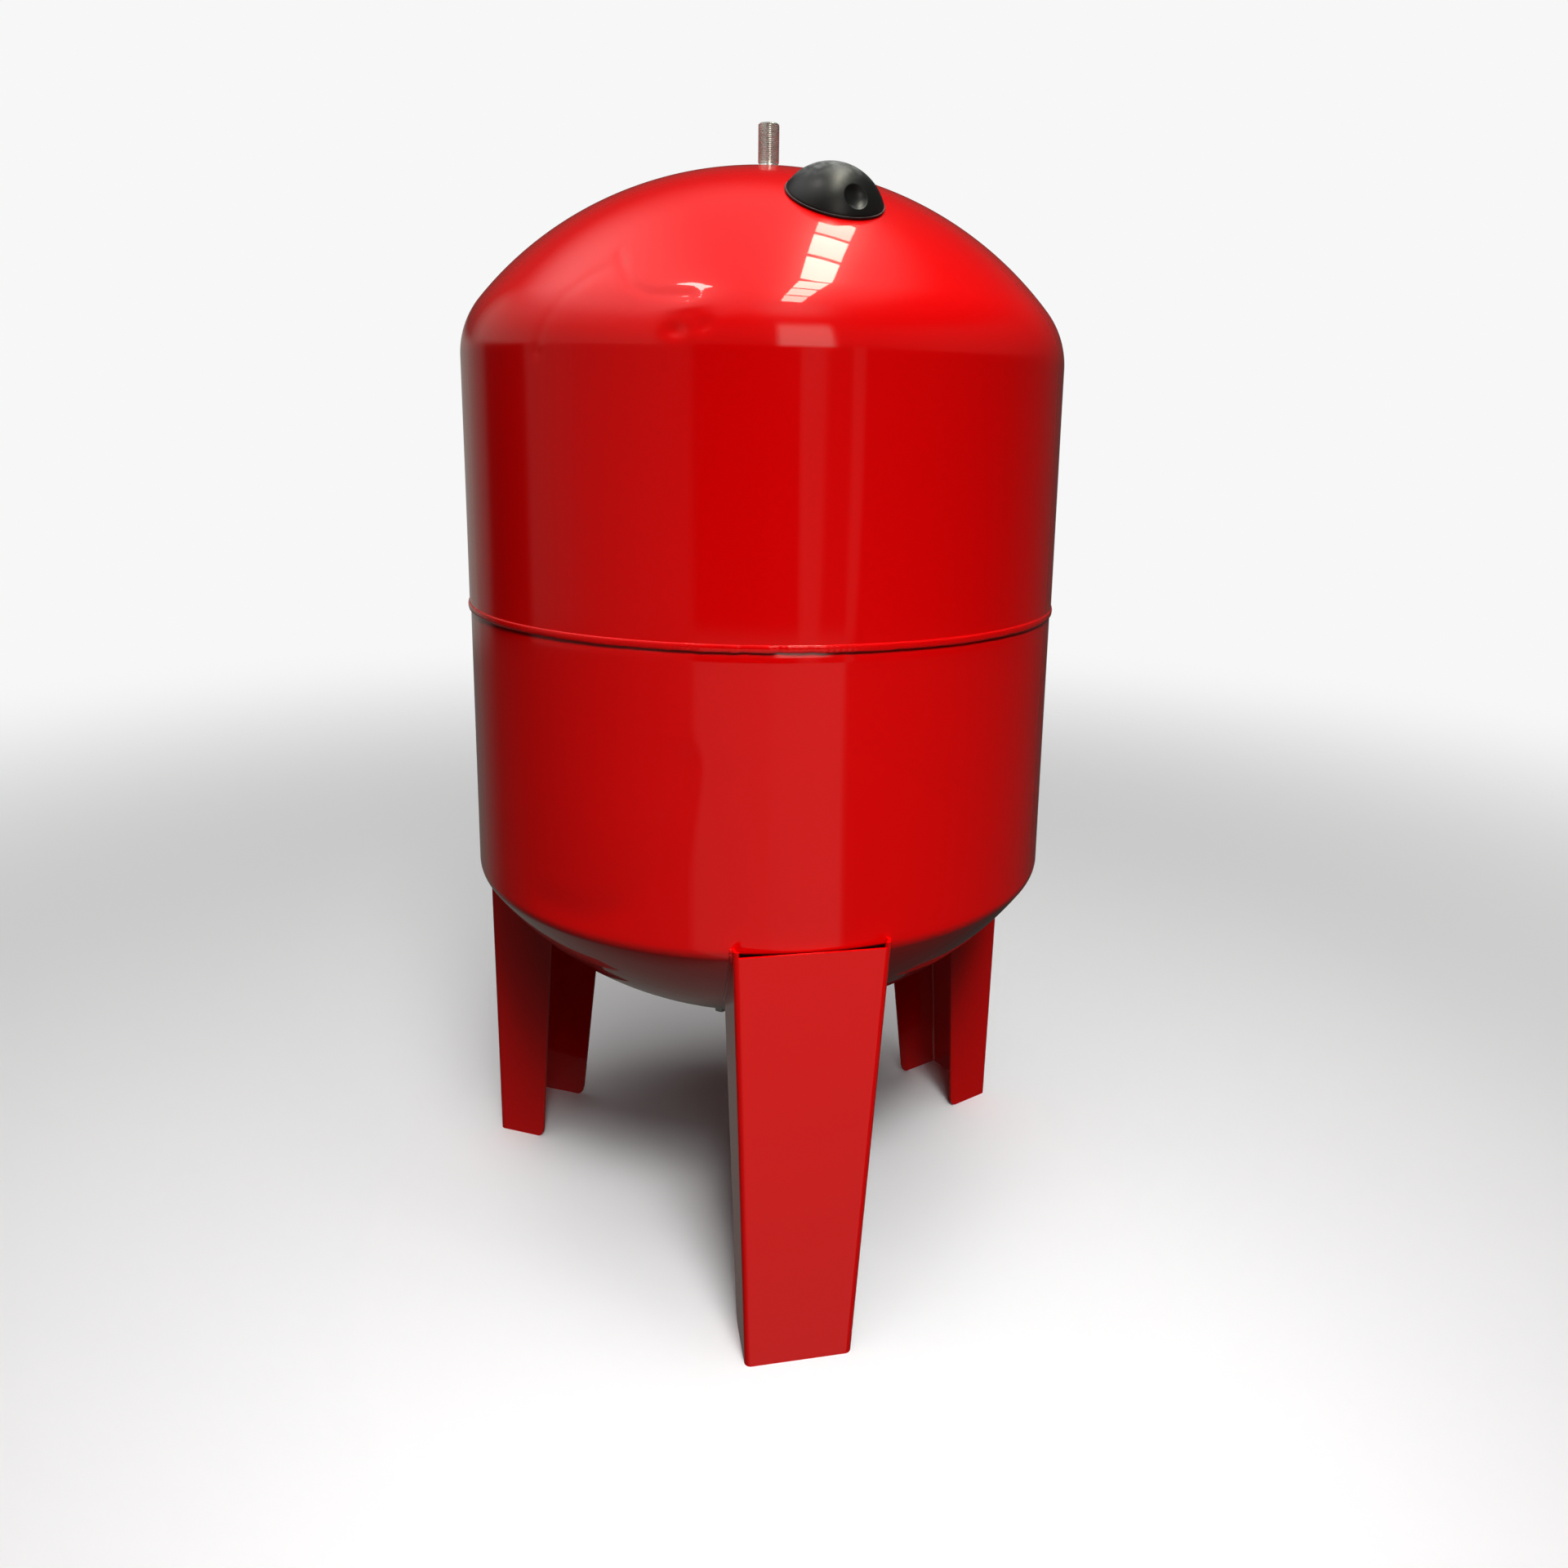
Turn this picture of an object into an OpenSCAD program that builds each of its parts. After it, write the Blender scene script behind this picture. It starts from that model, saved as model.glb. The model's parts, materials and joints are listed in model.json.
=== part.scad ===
// Floor-standing expansion vessel for a heating system: two deep-drawn shells lapped at a girth
// seam, three folded channel legs, a replaceable rubber bladder hung from a top nipple and closed
// by a bolted counterflange, and a gas charging valve under a plastic cover on the upper dome.
// Millimetres. Origin on the floor, on the vessel's axis; +Z up; the front leg stands on -Y.

/* [Shells] */
// Outside diameter of the upper shell
tank_d = 600; // [500:1:720]
// Sheet thickness of both shells
shell_t = 2.5; // [2:0.5:4]
// Radius of the upper crown, as a share of the diameter
upper_crown_share = 0.602; // [0.58:0.001:0.9]
// Radius of the upper knuckle
upper_knuckle_r = 85; // [30:1:110]
// Radius of the lower crown, as a share of the diameter
lower_crown_share = 0.6; // [0.58:0.001:0.9]
// Radius of the lower knuckle
lower_knuckle_r = 20; // [12:1:60]
// Straight wall from the seam up to the upper tangent line
upper_wall_h = 238; // [180:1:320]
// Straight wall from the seam down to the lower tangent line
lower_wall_h = 268; // [200:1:340]
// Height of the lower tangent line above the floor
tangent_z = 392; // [320:1:480]
// How far the lower shell's lip reaches up inside the upper shell
lap_h = 18; // [10:1:30]
// Radius of the girth weld bead
bead_r = 3.3; // [2:0.1:4.5]

/* [Legs] */
// Sheet thickness of the legs
leg_t = 3; // [2:0.5:5]
// Width of a leg's web at its top edge
leg_top_w = 140; // [110:1:170]
// Width of a leg's web at the floor
leg_foot_w = 99; // [70:1:130]
// Depth of a leg's flanges at its top edge
leg_top_depth = 86; // [60:1:110]
// Depth of a leg's flanges at the floor
leg_foot_depth = 58; // [40:1:90]
// Gap between the web and the shell's side
leg_gap = 1.5; // [0.5:0.1:6]
// How far a leg leans outwards from its top edge to the floor
leg_splay = 10; // [0:0.5:12]
// How far the front leg's foot stands off to the left of its top edge
front_leg_lean = 9; // [0:0.5:15]
// How far the flanges stand above the web's top edge
leg_ear_h = 5; // [0:0.5:12]
// Turn of the right leg from the front leg
right_leg_turn = 114; // [105:1:130]
// Turn of the left leg from the front leg
left_leg_turn = -119; // [-130:1:-105]

/* [Top nipple] */
// Outside diameter of the nipple's thread, 1/2 inch pipe
nipple_d = 20.96; // [16.66:0.01:26.44]
// Height of the nipple above the top of the dome
nipple_h = 45; // [30:1:60]
// Height of the plain hub at the nipple's foot
nipple_hub_h = 6; // [5:0.5:10]
// Bore of the nipple
nipple_bore_d = 13; // [8:0.5:15]
// Radius of the collar welded under the dome
nipple_collar_r = 20; // [17:0.5:26]
// Reach of the nipple below the collar
nipple_tail_h = 24; // [20:1:40]
// Width across flats of the nut that clamps the bladder's neck
neck_nut_af = 30; // [27:1:36]
// Height of that nut
neck_nut_h = 8; // [6:0.5:12]

/* [Bladder] */
// Wall of the bladder
bladder_t = 3; // [2:0.5:5]
// Gas space between the bladder's side and the shell
bladder_gap = 58; // [30:1:90]
// Radius of the bladder's knuckles
bladder_knuckle_r = 70; // [40:1:100]
// Radius of the thick eye around the nipple
eye_r = 26; // [22:1:34]
// Thickness of the eye
eye_t = 6; // [4:0.5:9]
// Thickness of the rim clamped in the bottom flange
rim_t = 3; // [2:0.5:5]

/* [Bottom flange] */
// Thickness of the neck flange
neck_flange_t = 6; // [4:0.5:10]
// Thickness of the counterflange
counterflange_t = 3; // [2:0.5:6]
// Bore of the neck
neck_bore_r = 41; // [32:1:52]
// Wall of the neck
neck_wall = 5; // [4:0.5:8]
// Gap between the neck flange and the bottom of the dome
neck_drop = 3; // [2:0.5:12]
// Number of bolts
bolt_count = 6; // [4:1:8]
// Diameter of the bolts
bolt_d = 8; // [6:1:10]
// Outside diameter of the water nipple's thread, 1 inch pipe
water_nipple_d = 33.25; // [26.44:0.01:41.91]
// Bore of the water nipple
water_bore_d = 25; // [18:0.5:30]
// Reach of the water nipple below the counterflange
water_nipple_h = 34; // [24:1:50]
// Height of the water nipple's plain shank under the counterflange
water_shank_h = 6; // [5:0.5:10]

/* [Charging valve] */
// Tilt of the valve's axis from vertical, about the crown's centre
valve_tilt = 31.2; // [26:0.1:36]
// Turn of the valve from the front leg
valve_turn = 9.2; // [-30:0.1:30]
// Radius of the steel socket welded into the dome
socket_r = 9; // [7.5:0.5:12]
// Radius of the stem's shank in the socket
shank_r = 5.2; // [4.5:0.1:6]
// Radius of the stem's thread for the dust cap
stem_thread_r = 3.85; // [3.5:0.05:4.2]
// Bore of the stem
stem_bore_r = 2.6; // [2.2:0.1:2.8]
// Radius of the pin
pin_r = 0.8; // [0.6:0.1:1]
// Radial clearance of the pin in its guide, and of the cap on the stem
running_fit = 0.05; // [0.02:0.01:0.1]
// Outside radius of the dust cap
cap_r = 5.6; // [5:0.1:7]

/* [Valve cover] */
// Diameter of the cover's rim
cover_d = 88; // [80:1:100]
// Height of the cover
cover_h = 29; // [27:0.5:36]
// Wall of the cover
cover_t = 2.2; // [1.5:0.1:3]
// Height of the rim band
cover_band_h = 3; // [2:0.5:5]
// Step from the rim band to the dome of the cover
cover_step = 1; // [0.5:0.1:2]
// Gap between the cover and what it stands over
cover_gap = 0.5; // [0.3:0.1:1]
// Radius of the blind round recess in the cover
recess_r = 11; // [7:0.5:13]
// Depth of the recess
recess_depth = 4; // [2:0.5:6]
// Tilt of the recess from the cover's axis
recess_tilt = 43; // [38:1:46]
// Turn of the recess from the downhill side
recess_turn = 10; // [-90:1:90]

/* [Hidden] */
$fn = 120;

paint_red = [0.76, 0.05, 0.04];
dark_plastic = [0.05, 0.05, 0.055];
steel_grey = [0.62, 0.61, 0.58];
brass_tone = [0.78, 0.62, 0.32];
rubber_black = [0.08, 0.08, 0.08];
over = 1; // how far a cutter runs past the face it opens
blend = 0.05; // how far a knuckle stands proud of its crown, so that the two arcs cross

// Heights and radii of the two shells
tank_r = tank_d / 2;
lower_r = tank_r - bead_r / 3;
seam_z = tangent_z + lower_wall_h;
upper_tangent_z = seam_z + upper_wall_h;
upper_crown_r = tank_d * upper_crown_share;
lower_crown_r = tank_d * lower_crown_share;
upper_crown_z = upper_tangent_z - crown_drop(tank_r, upper_crown_r, upper_knuckle_r);
lower_crown_z = tangent_z + crown_drop(lower_r, lower_crown_r, lower_knuckle_r);
dome_top_z = upper_crown_z + upper_crown_r;
dome_bottom_z = lower_crown_z - lower_crown_r;
upper_edge_z = seam_z - bead_r;
lip_r = tank_r - shell_t;
joggle_h = 4;

// Legs
web_top_z = tangent_z + 1;
ear_z = web_top_z + leg_ear_h;
web_top_y = lower_r + leg_gap + leg_t;
web_foot_y = web_top_y + leg_splay;

// Top nipple and the clamped neck of the bladder
nipple_r = nipple_d / 2;
nipple_hub_r = nipple_r + 1.2;
nipple_tail_r = nipple_r - 0.8;
nipple_top_z = dome_top_z + nipple_h;
nipple_hub_top_z = dome_top_z + nipple_hub_h;
collar_bottom_z = dome_top_z - shell_t - 8;
eye_bottom_z = collar_bottom_z - eye_t;
neck_washer_t = 2;
neck_nut_top_z = eye_bottom_z - neck_washer_t;
nipple_weld_r = nipple_hub_r + 4;

// Bladder
bladder_r = tank_r - shell_t - bladder_gap;
bladder_crown_r = bladder_r * 1.25;
bladder_top_z = collar_bottom_z;
bladder_upper_crown_z = bladder_top_z - bladder_crown_r;
bladder_upper_tangent_z = bladder_upper_crown_z
    + crown_drop(bladder_r, bladder_crown_r, bladder_knuckle_r);
bladder_bottom_z = dome_bottom_z + shell_t + 24;
bladder_lower_crown_z = bladder_bottom_z + bladder_crown_r;
bladder_lower_tangent_z = bladder_lower_crown_z
    - crown_drop(bladder_r, bladder_crown_r, bladder_knuckle_r);

// Bottom flange, counted down from the dome
neck_r = neck_bore_r + neck_wall;
neck_top_z = dome_bottom_z + shell_t + 8;
neck_flange_top_z = dome_bottom_z - neck_drop;
neck_flange_z = neck_flange_top_z - neck_flange_t;
counterflange_top_z = neck_flange_z - rim_t;
counterflange_z = counterflange_top_z - counterflange_t;
bolt_af = bolt_d * 1.625;
bolt_head_h = bolt_d * 0.55;
washer_t = 1.6;
nut_h = bolt_d * 0.8;
nut_z = counterflange_z - washer_t - nut_h;
bolt_tail = 2;
hole_clearance = 0.5;
bolt_circle_r = neck_r + 1.125 * bolt_d;
flange_r = bolt_circle_r + 1.25 * bolt_d;
rim_r = bolt_circle_r - bolt_d / 2 - 1;
water_nipple_r = water_nipple_d / 2;
water_shank_r = water_nipple_r + 1;
water_spigot_r = water_nipple_r - 1.5;
water_shank_z = counterflange_z - water_shank_h;
water_nipple_z = counterflange_z - water_nipple_h;
water_weld_w = 4;

// Charging valve, measured along its own axis from the dome's outer face
socket_low = -6;
socket_high = 3;
hex_h = 4;
hex_af = 14;
stem_high = socket_high + hex_h + 12;
core_low = 5;
core_high = stem_high - 2;
core_floor = core_low + 3;
core_cup_r = stem_bore_r - 0.7;
pin_low = 1;
pin_high = stem_high - 1;
pin_collar_low = core_high - 2;
pin_collar_h = 1;
seal_gap = 0.1;
seal_t = 1.5;
seal_r = stem_bore_r - 0.5;
spring_turns = 6;
spring_wire_r = 0.22;
coil_steps = 12;
spring_r = pin_r + spring_wire_r + 0.25;
cap_low = socket_high + hex_h + 0.4;
cap_high = stem_high + 4;
cap_seal_t = 0.9;
cap_seal_gap = 0.6;
cap_cavity_high = stem_high + cap_seal_gap + cap_seal_t;

// Valve cover, in the same frame as the valve
cover_r = cover_d / 2;
cover_low = cover_gap - sag(upper_crown_r, cover_r);
cover_high = cover_low + cover_h;
cover_dome_base_r = cover_r - cover_step;
cover_dome_rise = cover_h - cover_band_h;
cover_dome_r = (pow(cover_dome_base_r, 2) + pow(cover_dome_rise, 2)) / (2 * cover_dome_rise);
recess_ball_r = (pow(recess_r, 2) + pow(recess_depth, 2)) / (2 * recess_depth);
recess_out = cover_dome_r - sag(cover_dome_r, recess_r) + recess_ball_r - recess_depth;
ring_t = 2;
ring_wall_r = cover_r - 11;
ring_wall_t = 2;
ring_wall_h = 5;
skirt_t = 1.5;
skirt_r = ring_wall_r + 0.3;

// Distance from a crown's centre to its tangent line
function crown_drop(r, crown, knuckle) =
    sqrt(pow(crown + blend - knuckle, 2) - pow(r - knuckle, 2));
// Height of a sphere's cap of a given rim radius
function sag(ball, rim) = ball - sqrt(ball * ball - rim * rim);

// Half outline of a dished vessel end from z_open to its pole, which is above it or, with a way
// of -1, below it: a wall, a knuckle and a crown
module dished_outline(r, crown, knuckle, z_open, z_tangent, way = 1) {
    join_r = (crown + blend) * (r - knuckle) / (crown + blend - knuckle);
    translate([0, min(z_open, z_tangent)]) square([r, abs(z_tangent - z_open)]);
    intersection() {
        translate([r - knuckle, z_tangent]) circle(knuckle);
        translate([r - knuckle, z_tangent - (way > 0 ? 0 : 2 * knuckle)]) square(2 * knuckle);
    }
    intersection() {
        translate([0, z_tangent - way * crown_drop(r, crown, knuckle)]) circle(crown);
        translate([0, z_tangent - (way > 0 ? 0 : crown)]) square([join_r, crown]);
    }
}

module upper_outline(inset, z_open) {
    dished_outline(tank_r - inset, upper_crown_r - inset, upper_knuckle_r - inset, z_open,
        upper_tangent_z);
}

module lower_outline(inset, z_open) {
    dished_outline(lower_r - inset, lower_crown_r - inset, lower_knuckle_r - inset, z_open,
        tangent_z, -1);
}

// The outside of the lower shell as one solid, which the legs are scribed to
module lower_body() {
    rotate_extrude($fn = 180) lower_outline(0, ear_z + over);
}

// Moves a piece drawn along +Z to the charging valve's seat on the upper dome
module at_valve() {
    translate([0, 0, upper_crown_z]) rotate([valve_tilt, 0, valve_turn])
        translate([0, 0, upper_crown_r]) children();
}

module tube(r_out, r_in, low, high) {
    difference() {
        translate([0, 0, low]) cylinder(r = r_out, h = high - low);
        translate([0, 0, low - over]) cylinder(r = r_in, h = high - low + 2 * over);
    }
}

module hex_bar(flats, low, high) {
    translate([0, 0, low]) cylinder(r = flats / sqrt(3), h = high - low, $fn = 6);
}

module on_bolt_circle() {
    for (i = [0 : bolt_count - 1])
        rotate([0, 0, (i + 0.5) * 360 / bolt_count]) translate([bolt_circle_r, 0, 0]) children();
}

module upper_shell() {
    color(paint_red) difference() {
        rotate_extrude($fn = 180) difference() {
            upper_outline(0, upper_edge_z);
            upper_outline(shell_t, upper_edge_z - over);
        }
        translate([0, 0, dome_top_z - 3 * shell_t]) cylinder(r = nipple_hub_r, h = 4 * shell_t);
        at_valve() translate([0, 0, -2 * shell_t]) cylinder(r = socket_r, h = 3 * shell_t);
    }
}

module lower_shell_outline() {
    joggle_z = upper_edge_z - joggle_h;
    difference() {
        union() {
            lower_outline(0, joggle_z);
            polygon([[0, joggle_z], [lower_r, joggle_z], [lip_r, upper_edge_z],
                [lip_r, upper_edge_z + lap_h], [0, upper_edge_z + lap_h]]);
        }
        lower_outline(shell_t, joggle_z);
        polygon([[0, joggle_z], [lower_r - shell_t, joggle_z], [lip_r - shell_t, upper_edge_z],
            [lip_r - shell_t, upper_edge_z + lap_h + over], [0, upper_edge_z + lap_h + over]]);
    }
}

module lower_shell() {
    color(paint_red) difference() {
        rotate_extrude($fn = 180) lower_shell_outline();
        translate([0, 0, dome_bottom_z - shell_t]) cylinder(r = neck_r, h = 8 * shell_t);
    }
}

module girth_weld() {
    color(paint_red) rotate_extrude($fn = 180) difference() {
        translate([tank_r - bead_r / 3, upper_edge_z]) circle(bead_r, $fn = 48);
        translate([lip_r - bead_r, upper_edge_z]) square([tank_r - lip_r + bead_r, 2 * bead_r]);
        polygon([[lip_r - bead_r, upper_edge_z], [lip_r, upper_edge_z],
            [lower_r, upper_edge_z - joggle_h], [lip_r - bead_r, upper_edge_z - joggle_h]]);
    }
}

// A folded channel's outer form, inset by a sheet thickness for the space inside it
module channel_form(inset, lean) {
    intersection() {
        rotate([90, 0, 0]) linear_extrude(web_foot_y - inset) polygon([
            [-leg_foot_w / 2 + inset - lean, -inset], [leg_foot_w / 2 - inset - lean, -inset],
            [leg_top_w / 2 - inset, ear_z + inset], [-leg_top_w / 2 + inset, ear_z + inset]]);
        rotate([90, 0, 90]) linear_extrude(2 * leg_top_w, center = true) polygon([
            [inset - web_foot_y, -inset], [leg_foot_depth + 3 * inset - web_foot_y, -inset],
            [leg_top_depth + 3 * inset - web_top_y, ear_z + inset],
            [inset - web_top_y, ear_z + inset]]);
    }
}

module leg(lean = 0) {
    color(paint_red) difference() {
        channel_form(0, lean);
        channel_form(leg_t, lean);
        translate([leg_t - leg_top_w / 2, -web_foot_y, web_top_z])
            cube([leg_top_w - 2 * leg_t, 3 * leg_t + leg_splay, 2 * leg_ear_h]);
        lower_body();
    }
}

module leg_front() {
    leg(front_leg_lean);
}

module leg_right() {
    rotate([0, 0, right_leg_turn]) leg();
}

module leg_left() {
    rotate([0, 0, left_leg_turn]) leg();
}

module top_nipple() {
    color(steel_grey) difference() {
        union() {
            translate([0, 0, nipple_hub_top_z]) cylinder(r = nipple_r, h = nipple_h - nipple_hub_h);
            translate([0, 0, collar_bottom_z])
                cylinder(r = nipple_hub_r, h = nipple_hub_top_z - collar_bottom_z);
            translate([0, 0, collar_bottom_z - nipple_tail_h])
                cylinder(r = nipple_tail_r, h = nipple_tail_h);
            intersection() {
                translate([0, 0, collar_bottom_z]) cylinder(r = nipple_collar_r, h = 20);
                rotate_extrude() upper_outline(shell_t, upper_edge_z);
            }
        }
        translate([0, 0, collar_bottom_z - nipple_tail_h - over])
            cylinder(d = nipple_bore_d, h = nipple_top_z - collar_bottom_z + nipple_tail_h + 2 * over);
    }
}

module top_nipple_weld() {
    color(paint_red) difference() {
        rotate_extrude() polygon([[nipple_hub_r, dome_top_z - 1], [nipple_weld_r, dome_top_z - 1],
            [nipple_weld_r, dome_top_z - 0.1], [nipple_hub_r, dome_top_z + 3.4]]);
        rotate_extrude($fn = 180) upper_outline(0, upper_edge_z);
    }
}

module bladder_outline(inset) {
    crown = bladder_crown_r - inset;
    knuckle = bladder_knuckle_r - inset;
    dished_outline(bladder_r - inset, crown, knuckle, bladder_lower_tangent_z,
        bladder_upper_tangent_z);
    dished_outline(bladder_r - inset, crown, knuckle, bladder_upper_tangent_z,
        bladder_lower_tangent_z, -1);
}

module bladder() {
    neck_out = neck_bore_r;
    neck_in = neck_bore_r - bladder_t;
    color(rubber_black) rotate_extrude() difference() {
        union() {
            bladder_outline(0);
            translate([0, counterflange_top_z]) square([neck_out, bladder_bottom_z + 20
                - counterflange_top_z]);
            translate([0, counterflange_top_z]) square([rim_r, rim_t]);
        }
        difference() {
            bladder_outline(bladder_t);
            translate([0, eye_bottom_z]) square([eye_r, 2 * eye_t]);
        }
        translate([0, counterflange_top_z - over]) square([neck_in, bladder_bottom_z + 20
            - counterflange_top_z]);
        translate([0, eye_bottom_z - over]) square([nipple_tail_r, 2 * eye_t]);
        translate([0, bladder_top_z]) square([eye_r, eye_t]);
    }
}

module bladder_neck_washer() {
    color(steel_grey) tube(eye_r - 3, nipple_tail_r, neck_nut_top_z, eye_bottom_z);
}

module bladder_neck_nut() {
    color(steel_grey) difference() {
        hex_bar(neck_nut_af, neck_nut_top_z - neck_nut_h, neck_nut_top_z);
        translate([0, 0, neck_nut_top_z - neck_nut_h - over])
            cylinder(r = nipple_tail_r, h = neck_nut_h + 2 * over);
    }
}

module neck_flange() {
    color(paint_red) difference() {
        union() {
            translate([0, 0, neck_flange_z]) cylinder(r = flange_r, h = neck_flange_t);
            translate([0, 0, neck_flange_z]) cylinder(r = neck_r, h = neck_top_z - neck_flange_z);
        }
        translate([0, 0, neck_flange_z - over])
            cylinder(r = neck_bore_r, h = neck_top_z - neck_flange_z + 2 * over);
        on_bolt_circle() translate([0, 0, neck_flange_z - over])
            cylinder(d = bolt_d + 2 * hole_clearance, h = neck_flange_t + 2 * over);
    }
}

module counterflange() {
    color(steel_grey) difference() {
        translate([0, 0, counterflange_z]) cylinder(r = flange_r, h = counterflange_t);
        translate([0, 0, counterflange_z - over])
            cylinder(r = water_spigot_r, h = counterflange_t + 2 * over);
        on_bolt_circle() translate([0, 0, counterflange_z - over])
            cylinder(d = bolt_d + 2 * hole_clearance, h = counterflange_t + 2 * over);
    }
}

module water_nipple() {
    bore_r = water_bore_d / 2;
    color(steel_grey) rotate_extrude() polygon([[bore_r, water_nipple_z],
        [water_nipple_r, water_nipple_z], [water_nipple_r, water_shank_z],
        [water_shank_r, water_shank_z], [water_shank_r, counterflange_z],
        [water_spigot_r, counterflange_z], [water_spigot_r, counterflange_top_z],
        [bore_r, counterflange_top_z]]);
}

module water_nipple_weld() {
    color(steel_grey) rotate_extrude() polygon([[water_shank_r, counterflange_z],
        [water_shank_r + water_weld_w, counterflange_z],
        [water_shank_r, counterflange_z - water_weld_w]]);
}

module flange_bolts() {
    color(steel_grey) on_bolt_circle() {
        hex_bar(bolt_af, neck_flange_top_z, neck_flange_top_z + bolt_head_h);
        translate([0, 0, nut_z - bolt_tail])
            cylinder(d = bolt_d, h = neck_flange_top_z - nut_z + bolt_tail);
    }
}

module flange_washers() {
    color(steel_grey) on_bolt_circle()
        tube(bolt_d, bolt_d / 2 + hole_clearance / 2, counterflange_z - washer_t, counterflange_z);
}

module flange_nuts() {
    color(steel_grey) on_bolt_circle() difference() {
        hex_bar(bolt_af, nut_z, nut_z + nut_h);
        translate([0, 0, nut_z - over]) cylinder(d = bolt_d, h = nut_h + 2 * over);
    }
}

module valve_socket() {
    color(steel_grey) at_valve() tube(socket_r, shank_r, socket_low, socket_high);
}

module valve_stem() {
    color(brass_tone) at_valve() difference() {
        union() {
            translate([0, 0, socket_low]) cylinder(r = shank_r, h = socket_high - socket_low);
            hex_bar(hex_af, socket_high, socket_high + hex_h);
            translate([0, 0, socket_high]) cylinder(r = stem_thread_r, h = stem_high - socket_high);
        }
        translate([0, 0, socket_low - over])
            cylinder(r = stem_bore_r, h = stem_high - socket_low + 2 * over);
    }
}

module valve_core() {
    color(brass_tone) at_valve() difference() {
        tube(stem_bore_r, pin_r + running_fit, core_low, core_high);
        translate([0, 0, core_floor]) cylinder(r = core_cup_r, h = core_high);
    }
}

// Wire wound on a helix between two heights, as rings of points joined into a skin
module coil(radius, wire, turns, low, high) {
    steps = turns * coil_steps;
    sides = 6;
    rise = (high - low - 2 * wire) / steps;
    rings = [for (i = [0 : steps]) [for (j = [0 : sides - 1])
        let (turn = i * 360 / coil_steps, reach = radius + wire * cos(j * 360 / sides))
        [reach * cos(turn), reach * sin(turn), low + wire + i * rise + wire * sin(j * 360 / sides)]]];
    skin = [for (i = [0 : steps - 1]) for (j = [0 : sides - 1])
        let (k = (j + 1) % sides) [i * sides + j, (i + 1) * sides + j, (i + 1) * sides + k,
            i * sides + k]];
    ends = [[for (j = [0 : sides - 1]) j], [for (j = [sides - 1 : -1 : 0]) steps * sides + j]];
    polyhedron([for (ring = rings) each ring], concat(skin, ends));
}

module valve_spring() {
    color(steel_grey) at_valve()
        coil(spring_r, spring_wire_r, spring_turns, core_floor, pin_collar_low);
}

module valve_pin() {
    color(brass_tone) at_valve() {
        translate([0, 0, pin_low]) cylinder(r = pin_r, h = pin_high - pin_low);
        translate([0, 0, pin_collar_low]) cylinder(r = core_cup_r - 0.3, h = pin_collar_h);
    }
}

module valve_seal() {
    color(rubber_black) at_valve()
        tube(seal_r, pin_r, core_low - seal_gap - seal_t, core_low - seal_gap);
}

module dust_cap() {
    color(dark_plastic) at_valve() difference() {
        translate([0, 0, cap_low]) cylinder(r = cap_r, h = cap_high - cap_low);
        translate([0, 0, cap_low - over])
            cylinder(r = stem_thread_r + running_fit, h = cap_cavity_high - cap_low + over);
    }
}

module cap_seal() {
    color(rubber_black) at_valve() translate([0, 0, cap_cavity_high - cap_seal_t])
        cylinder(r = stem_thread_r - 0.2, h = cap_seal_t);
}

module cover_ring() {
    low = -2 * ring_t;
    color(dark_plastic) at_valve() rotate_extrude() difference() {
        polygon([[socket_r, low], [ring_wall_r, low], [ring_wall_r, ring_wall_h],
            [ring_wall_r - ring_wall_t, ring_wall_h], [ring_wall_r - ring_wall_t, ring_t],
            [socket_r, ring_t]]);
        translate([0, -upper_crown_r]) circle(upper_crown_r, $fn = 720);
    }
}

// Half outline of the cover, inset by its wall for the space inside it
module cover_outline(inset) {
    translate([0, cover_low - 2 * inset])
        square([cover_r - cover_step * (inset > 0 ? 1 : 0) - inset, cover_band_h + 2 * inset]);
    intersection() {
        translate([0, cover_high - cover_dome_r]) circle(cover_dome_r - inset);
        translate([0, cover_low + cover_band_h - inset]) square([cover_r, cover_h]);
    }
}

module recess_ball(extra) {
    translate([0, 0, cover_high - cover_dome_r]) rotate([0, recess_tilt, recess_turn - 90])
        translate([0, 0, recess_out]) sphere(recess_ball_r + extra);
}

module valve_cover() {
    color(dark_plastic) at_valve() {
        difference() {
            rotate_extrude() cover_outline(0);
            difference() {
                rotate_extrude() cover_outline(cover_t);
                recess_ball(cover_t);
            }
            recess_ball(0);
        }
        difference() {
            translate([0, 0, cover_low + 2])
                cylinder(r = skirt_r + skirt_t, h = cover_high - cover_low);
            translate([0, 0, cover_low]) cylinder(r = skirt_r, h = cover_h + over);
            difference() {
                translate([0, 0, cover_low]) cylinder(r = cover_d, h = 2 * cover_h);
                rotate_extrude() cover_outline(cover_t / 2);
            }
            recess_ball(cover_t / 2);
        }
    }
}

upper_shell();
lower_shell();
girth_weld();
leg_front();
leg_right();
leg_left();
top_nipple();
top_nipple_weld();
bladder();
bladder_neck_washer();
bladder_neck_nut();
neck_flange();
counterflange();
water_nipple();
water_nipple_weld();
flange_bolts();
flange_washers();
flange_nuts();
valve_socket();
valve_stem();
valve_core();
valve_spring();
valve_pin();
valve_seal();
dust_cap();
cap_seal();
cover_ring();
valve_cover();
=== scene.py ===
"""Looks of a floor-standing expansion vessel.

Two pressed red shells meet at a girth weld on three folded legs. A threaded nipple stands on the
top, a capped charging valve sits under a black clip-on cover, and a bolted flange closes the foot.
"""

import json
import logging
import math
from contextlib import contextmanager
from dataclasses import dataclass, field
from enum import Enum
from typing import Callable, Iterator, Sequence

import bmesh
import bpy
import numpy as np
from mathutils import Matrix, Vector


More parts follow.
